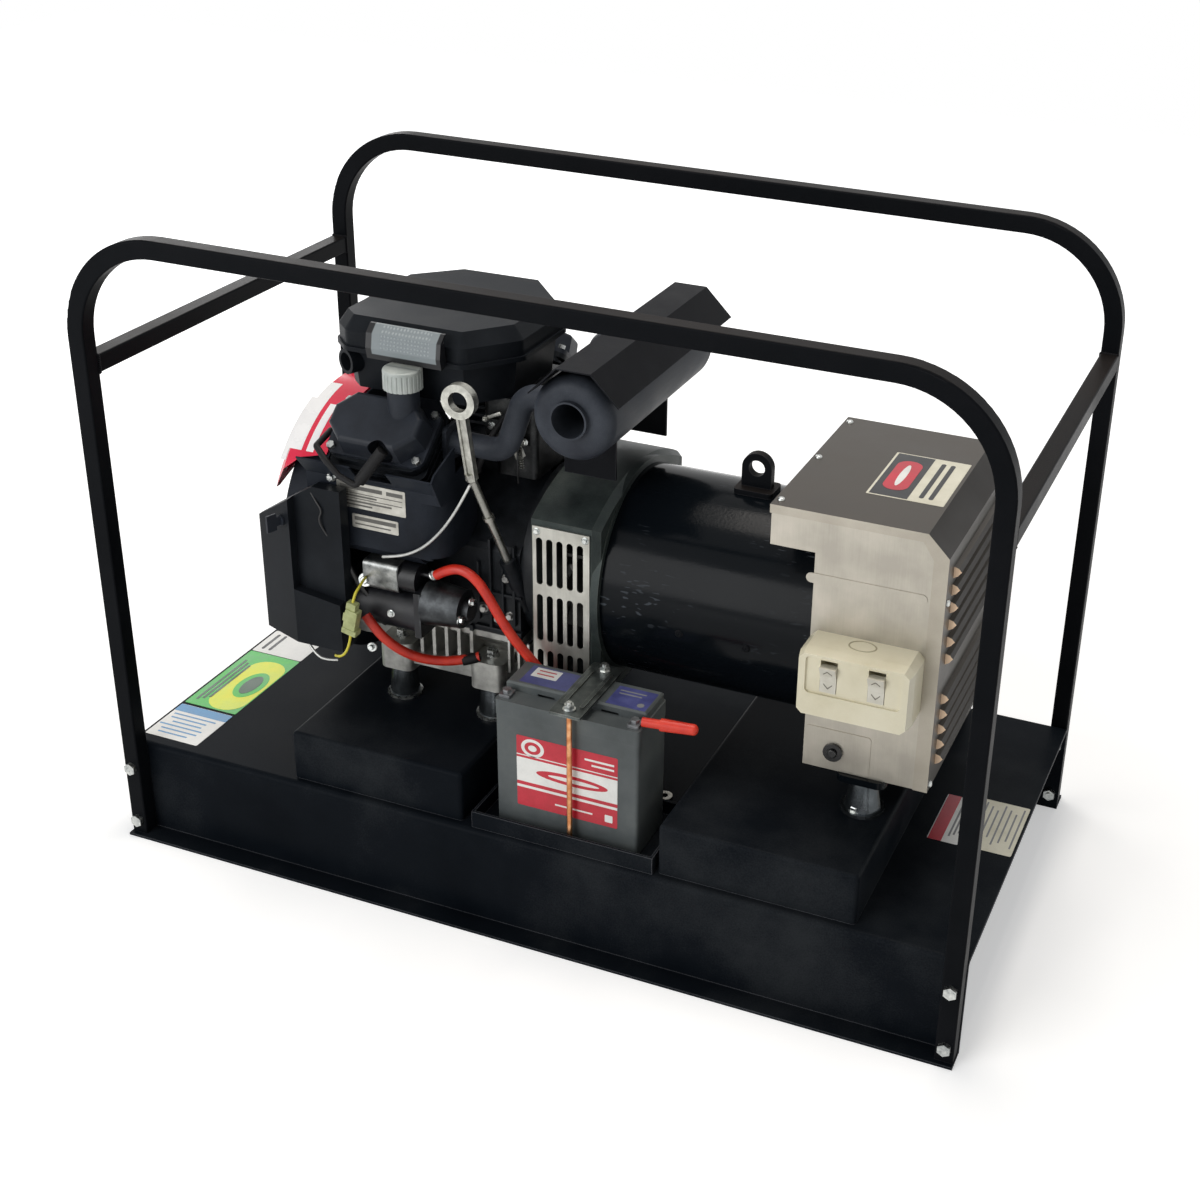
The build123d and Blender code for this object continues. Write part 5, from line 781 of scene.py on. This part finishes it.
# The lid's end face and the near ends of its louvres, in mm.
end_x, louvre_y = 416.5, -112.0


def brushed_sheet(name, colours, along, rough, with_painted_lid_light=False):
    """Brushed steel sheet in 45 mm clouds, its grain along an axis drawn 1 mm wide so that it shows. For the lid,
    painted shade darkens the faces that look up and to the end, standing for the unlit room that bare steel reflects,
    and a painted highlight brightens the mouths of its louvres."""
    material, add = bare_material(name)
    place = add("TexCoord").outputs["Object"]
    stretch = [1.0, 1.0, 1.0]
    stretch[along] = 0.02
    drawn = add("VectorMath", {"operation": "MULTIPLY", 1: stretch}, {0: place})
    lines = add("TexNoise", {"Scale": 900.0, "Detail": 4.0, "Roughness": 0.7}, {"Vector": drawn})
    clouds = add("TexNoise", {"Scale": 22.0, "Detail": 4.0}, {"Vector": place})
    smear = add("Math", {"operation": "MULTIPLY", 1: 0.2}, {0: lines})
    broad = add("Math", {"operation": "MULTIPLY_ADD", 1: 0.8}, {0: clouds, 2: smear})
    colour = add("ValToRGB", {"stops": spread(colours, 0.36, 0.64)}, {"Fac": broad})
    if with_painted_lid_light:
        facing = add("SeparateXYZ", {}, {0: add("NewGeometry").outputs["True Normal"]}).outputs
        parts = add("SeparateXYZ", {}, {0: place}).outputs
        mouth = add("Math", {"operation": "LESS_THAN", 1: -0.9}, {0: facing["Y"]})
        proud = add("Math", {"operation": "GREATER_THAN", 1: end_x / 1000}, {0: parts["X"]})
        inner = add("Math", {"operation": "GREATER_THAN", 1: louvre_y / 1000}, {0: parts["Y"]})
        both = add("Math", "MULTIPLY", {0: mouth, 1: proud})
        painted_louvre_highlight = add("Math", "MULTIPLY", {0: both, 1: inner})
        # Painted shade: faces that look up, and still more those that look to the end, are darkened.
        painted_shade = add("MapRange", {"From Min": 0.5, "From Max": 0.7, "To Max": 0.9}, {"Value": facing["Z"]})
        colour = add("Mix", {"data_type": "RGBA", 7: "#37322e"}, {0: painted_shade, 6: colour}).outputs[2]
        painted_shade = add("MapRange", {"From Min": 0.3, "From Max": 0.7, "To Max": 0.93}, {"Value": facing["X"]})
        colour = add("Mix", {"data_type": "RGBA", 7: "#25221f"}, {0: painted_shade, 6: colour}).outputs[2]
        # Painted highlight: the mouths of the louvres on the end, facing the front, are drawn pale.
        colour = add("Mix", {"data_type": "RGBA", 7: "#f0d2b4"}, {0: painted_louvre_highlight, 6: colour}).outputs[2]
    gloss = add("MapRange", {**noise_span, "To Min": rough[0], "To Max": rough[1]}, {"Value": broad})
    relief = add("Bump", {"Strength": 0.03, "Distance": 0.0006}, {"Height": lines})
    shader = add("BsdfPrincipled", {"Metallic": 0.75}, {"Base Color": colour, "Roughness": gloss, "Normal": relief})
    add("OutputMaterial", {}, {"Surface": shader})
    return material


coat(brushed_sheet("brushed_bare_steel_front", "#a09b91 #aca79c #b8b2a7", 2, (0.36, 0.46)), "terminal_box")
coat(brushed_sheet("brushed_bare_steel_lid_with_painted_light", "#9b9589 #a49e92 #ada79b", 1, (0.34, 0.46), True), "terminal_box_cover")
lid_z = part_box("terminal_box_cover")[1][2] * 1000
pan = bmesh.new()
screws = [((237, y, lid_z), (0, 0, 1)) for y in (-113, 5, 113)]
screws += [((end_x, y, z), (1, 0, 0)) for y in (-119, 119) for z in (443, 231)]
for spot, axis in screws:
    turned(pan, spot, axis, [(3.9, -0.5), (3.9, 0.6), (3.2, 1.9), (1.8, 2.5)], 24)
from_bmesh("lid_screws", pan, [bright_zinc], smooth_angle=50)
printed("lid_film", (349.5, -3.5, lid_z), 0.25, [
    (0, cream_film, rounded(115, 81, 1)),
    (1, black_film, rounded(111, 40, 0, (0, 18)), rounded(94, 5, 2.5, (0, -14)), rounded(94, 5, 2.5, (0, -24))),
    (2, red_film, rounded(78, 27, 13, (0, 18))),
    (3, white_film, oval(56, 8, (0, 18)))], (0, 1, 0), (-1, 0, 0))
coat(skin("glossy_black_phenolic", "#0b0b0c #121213", (0.2, 0.34), 12, 0.6, 0.05), "reset_breaker", "reset_button")

# ------------ breaker enclosure
# Cream PVC enclosure with a dished face: two grey-white rockers with moulded arrows, two capped screws and the
# round knock-out of the conduit entry on top.
coat(skin("cream_moulded_pvc", "#d8d0b4 #e1dac0 #e8e2ca", (0.28, 0.4), 60, 0.7, 0.04, edge=("#efe9d6", 0.5)),
     "breaker_enclosure")
coat(skin("grey_white_moulded_urea", "#c9c5b6 #d3cfc2 #dbd8cc", (0.26, 0.38), 20, 0.7, 0.04),
     "breaker_rocker_left", "breaker_rocker_right")

# Moulded arrows on the two slopes of each rocker; they move with it. The enclosure leans back by 12 degrees.
box_low, box_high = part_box("breaker_enclosure")
arrow_grey = skin("moulded_arrow_grey_urea", "#6f6b60 #7b776b", (0.3, 0.42), 12, 0.7, 0.04)
pin_y, pin_z = -163, 361
lean = math.radians(12)
outward, upward = Vector((0, math.cos(lean), math.sin(lean))), Vector((0, -math.sin(lean), math.cos(lean)))
for name, body in (("breaker_rocker_left", "left_rocker"), ("breaker_rocker_right", "right_rocker")):
    low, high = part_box(name)
    pin = Vector(((low[0] + high[0]) * 500, pin_y, pin_z))
    for way, end in ((1, "up"), (-1, "down")):
        seat = pin + outward * -9.5 + upward * (9.25 * way)
        slope = outward * (-3 * way) + upward * 12.5
        arrow = [(-4.6, -2.2), (0, 2.6), (4.6, -2.2), (4.6, -3.4), (0, 1.0), (-4.6, -3.4)]
        outline = [(u, v * way) for u, v in arrow][::-way]
        printed(f"{name}_arrow_{end}", seat, 0.3, [(0, arrow_grey, outline)], up=slope, body=body)
ring = bmesh.new()
top_z = box_high[2] * 1000
turns = [math.tau * i / 40 for i in range(40)]
rings = [[ring.verts.new(((340 + r * math.cos(turn)) / 1000, (-140.5 + 0.72 * r * math.sin(turn)) / 1000,
                          (top_z + h) / 1000)) for turn in turns]
         for r, h in ((15, -0.2), (14.6, 0.5), (13.4, 0.5), (13.0, -0.2))]
for a, b in zip(rings, rings[1:] + rings[:1]):
    for i in range(len(turns)):
        ring.faces.new((a[i - 1], a[i], b[i], b[i - 1]))
# The knock-out's score line is cream PVC drawn darker, as painted shade for the groove of the score line.
score_line_painted_shade = skin("cream_pvc_score_line_with_painted_shade", "#9c9478 #aaa286", (0.4, 0.5), 12, 0.7, 0.04)
from_bmesh("knock_out_ring", ring, [score_line_painted_shade], smooth_angle=50)
caps = bmesh.new()
for x in (293.5, 388.5):
    turned(caps, (x, box_low[1] * 1000 + 3.6, 331), (0, -1, 0), [(2.6, -1), (2.6, 0.5), (2.0, 1.0)], 20)
from_bmesh("enclosure_screws", caps, [bright_zinc], smooth_angle=50)
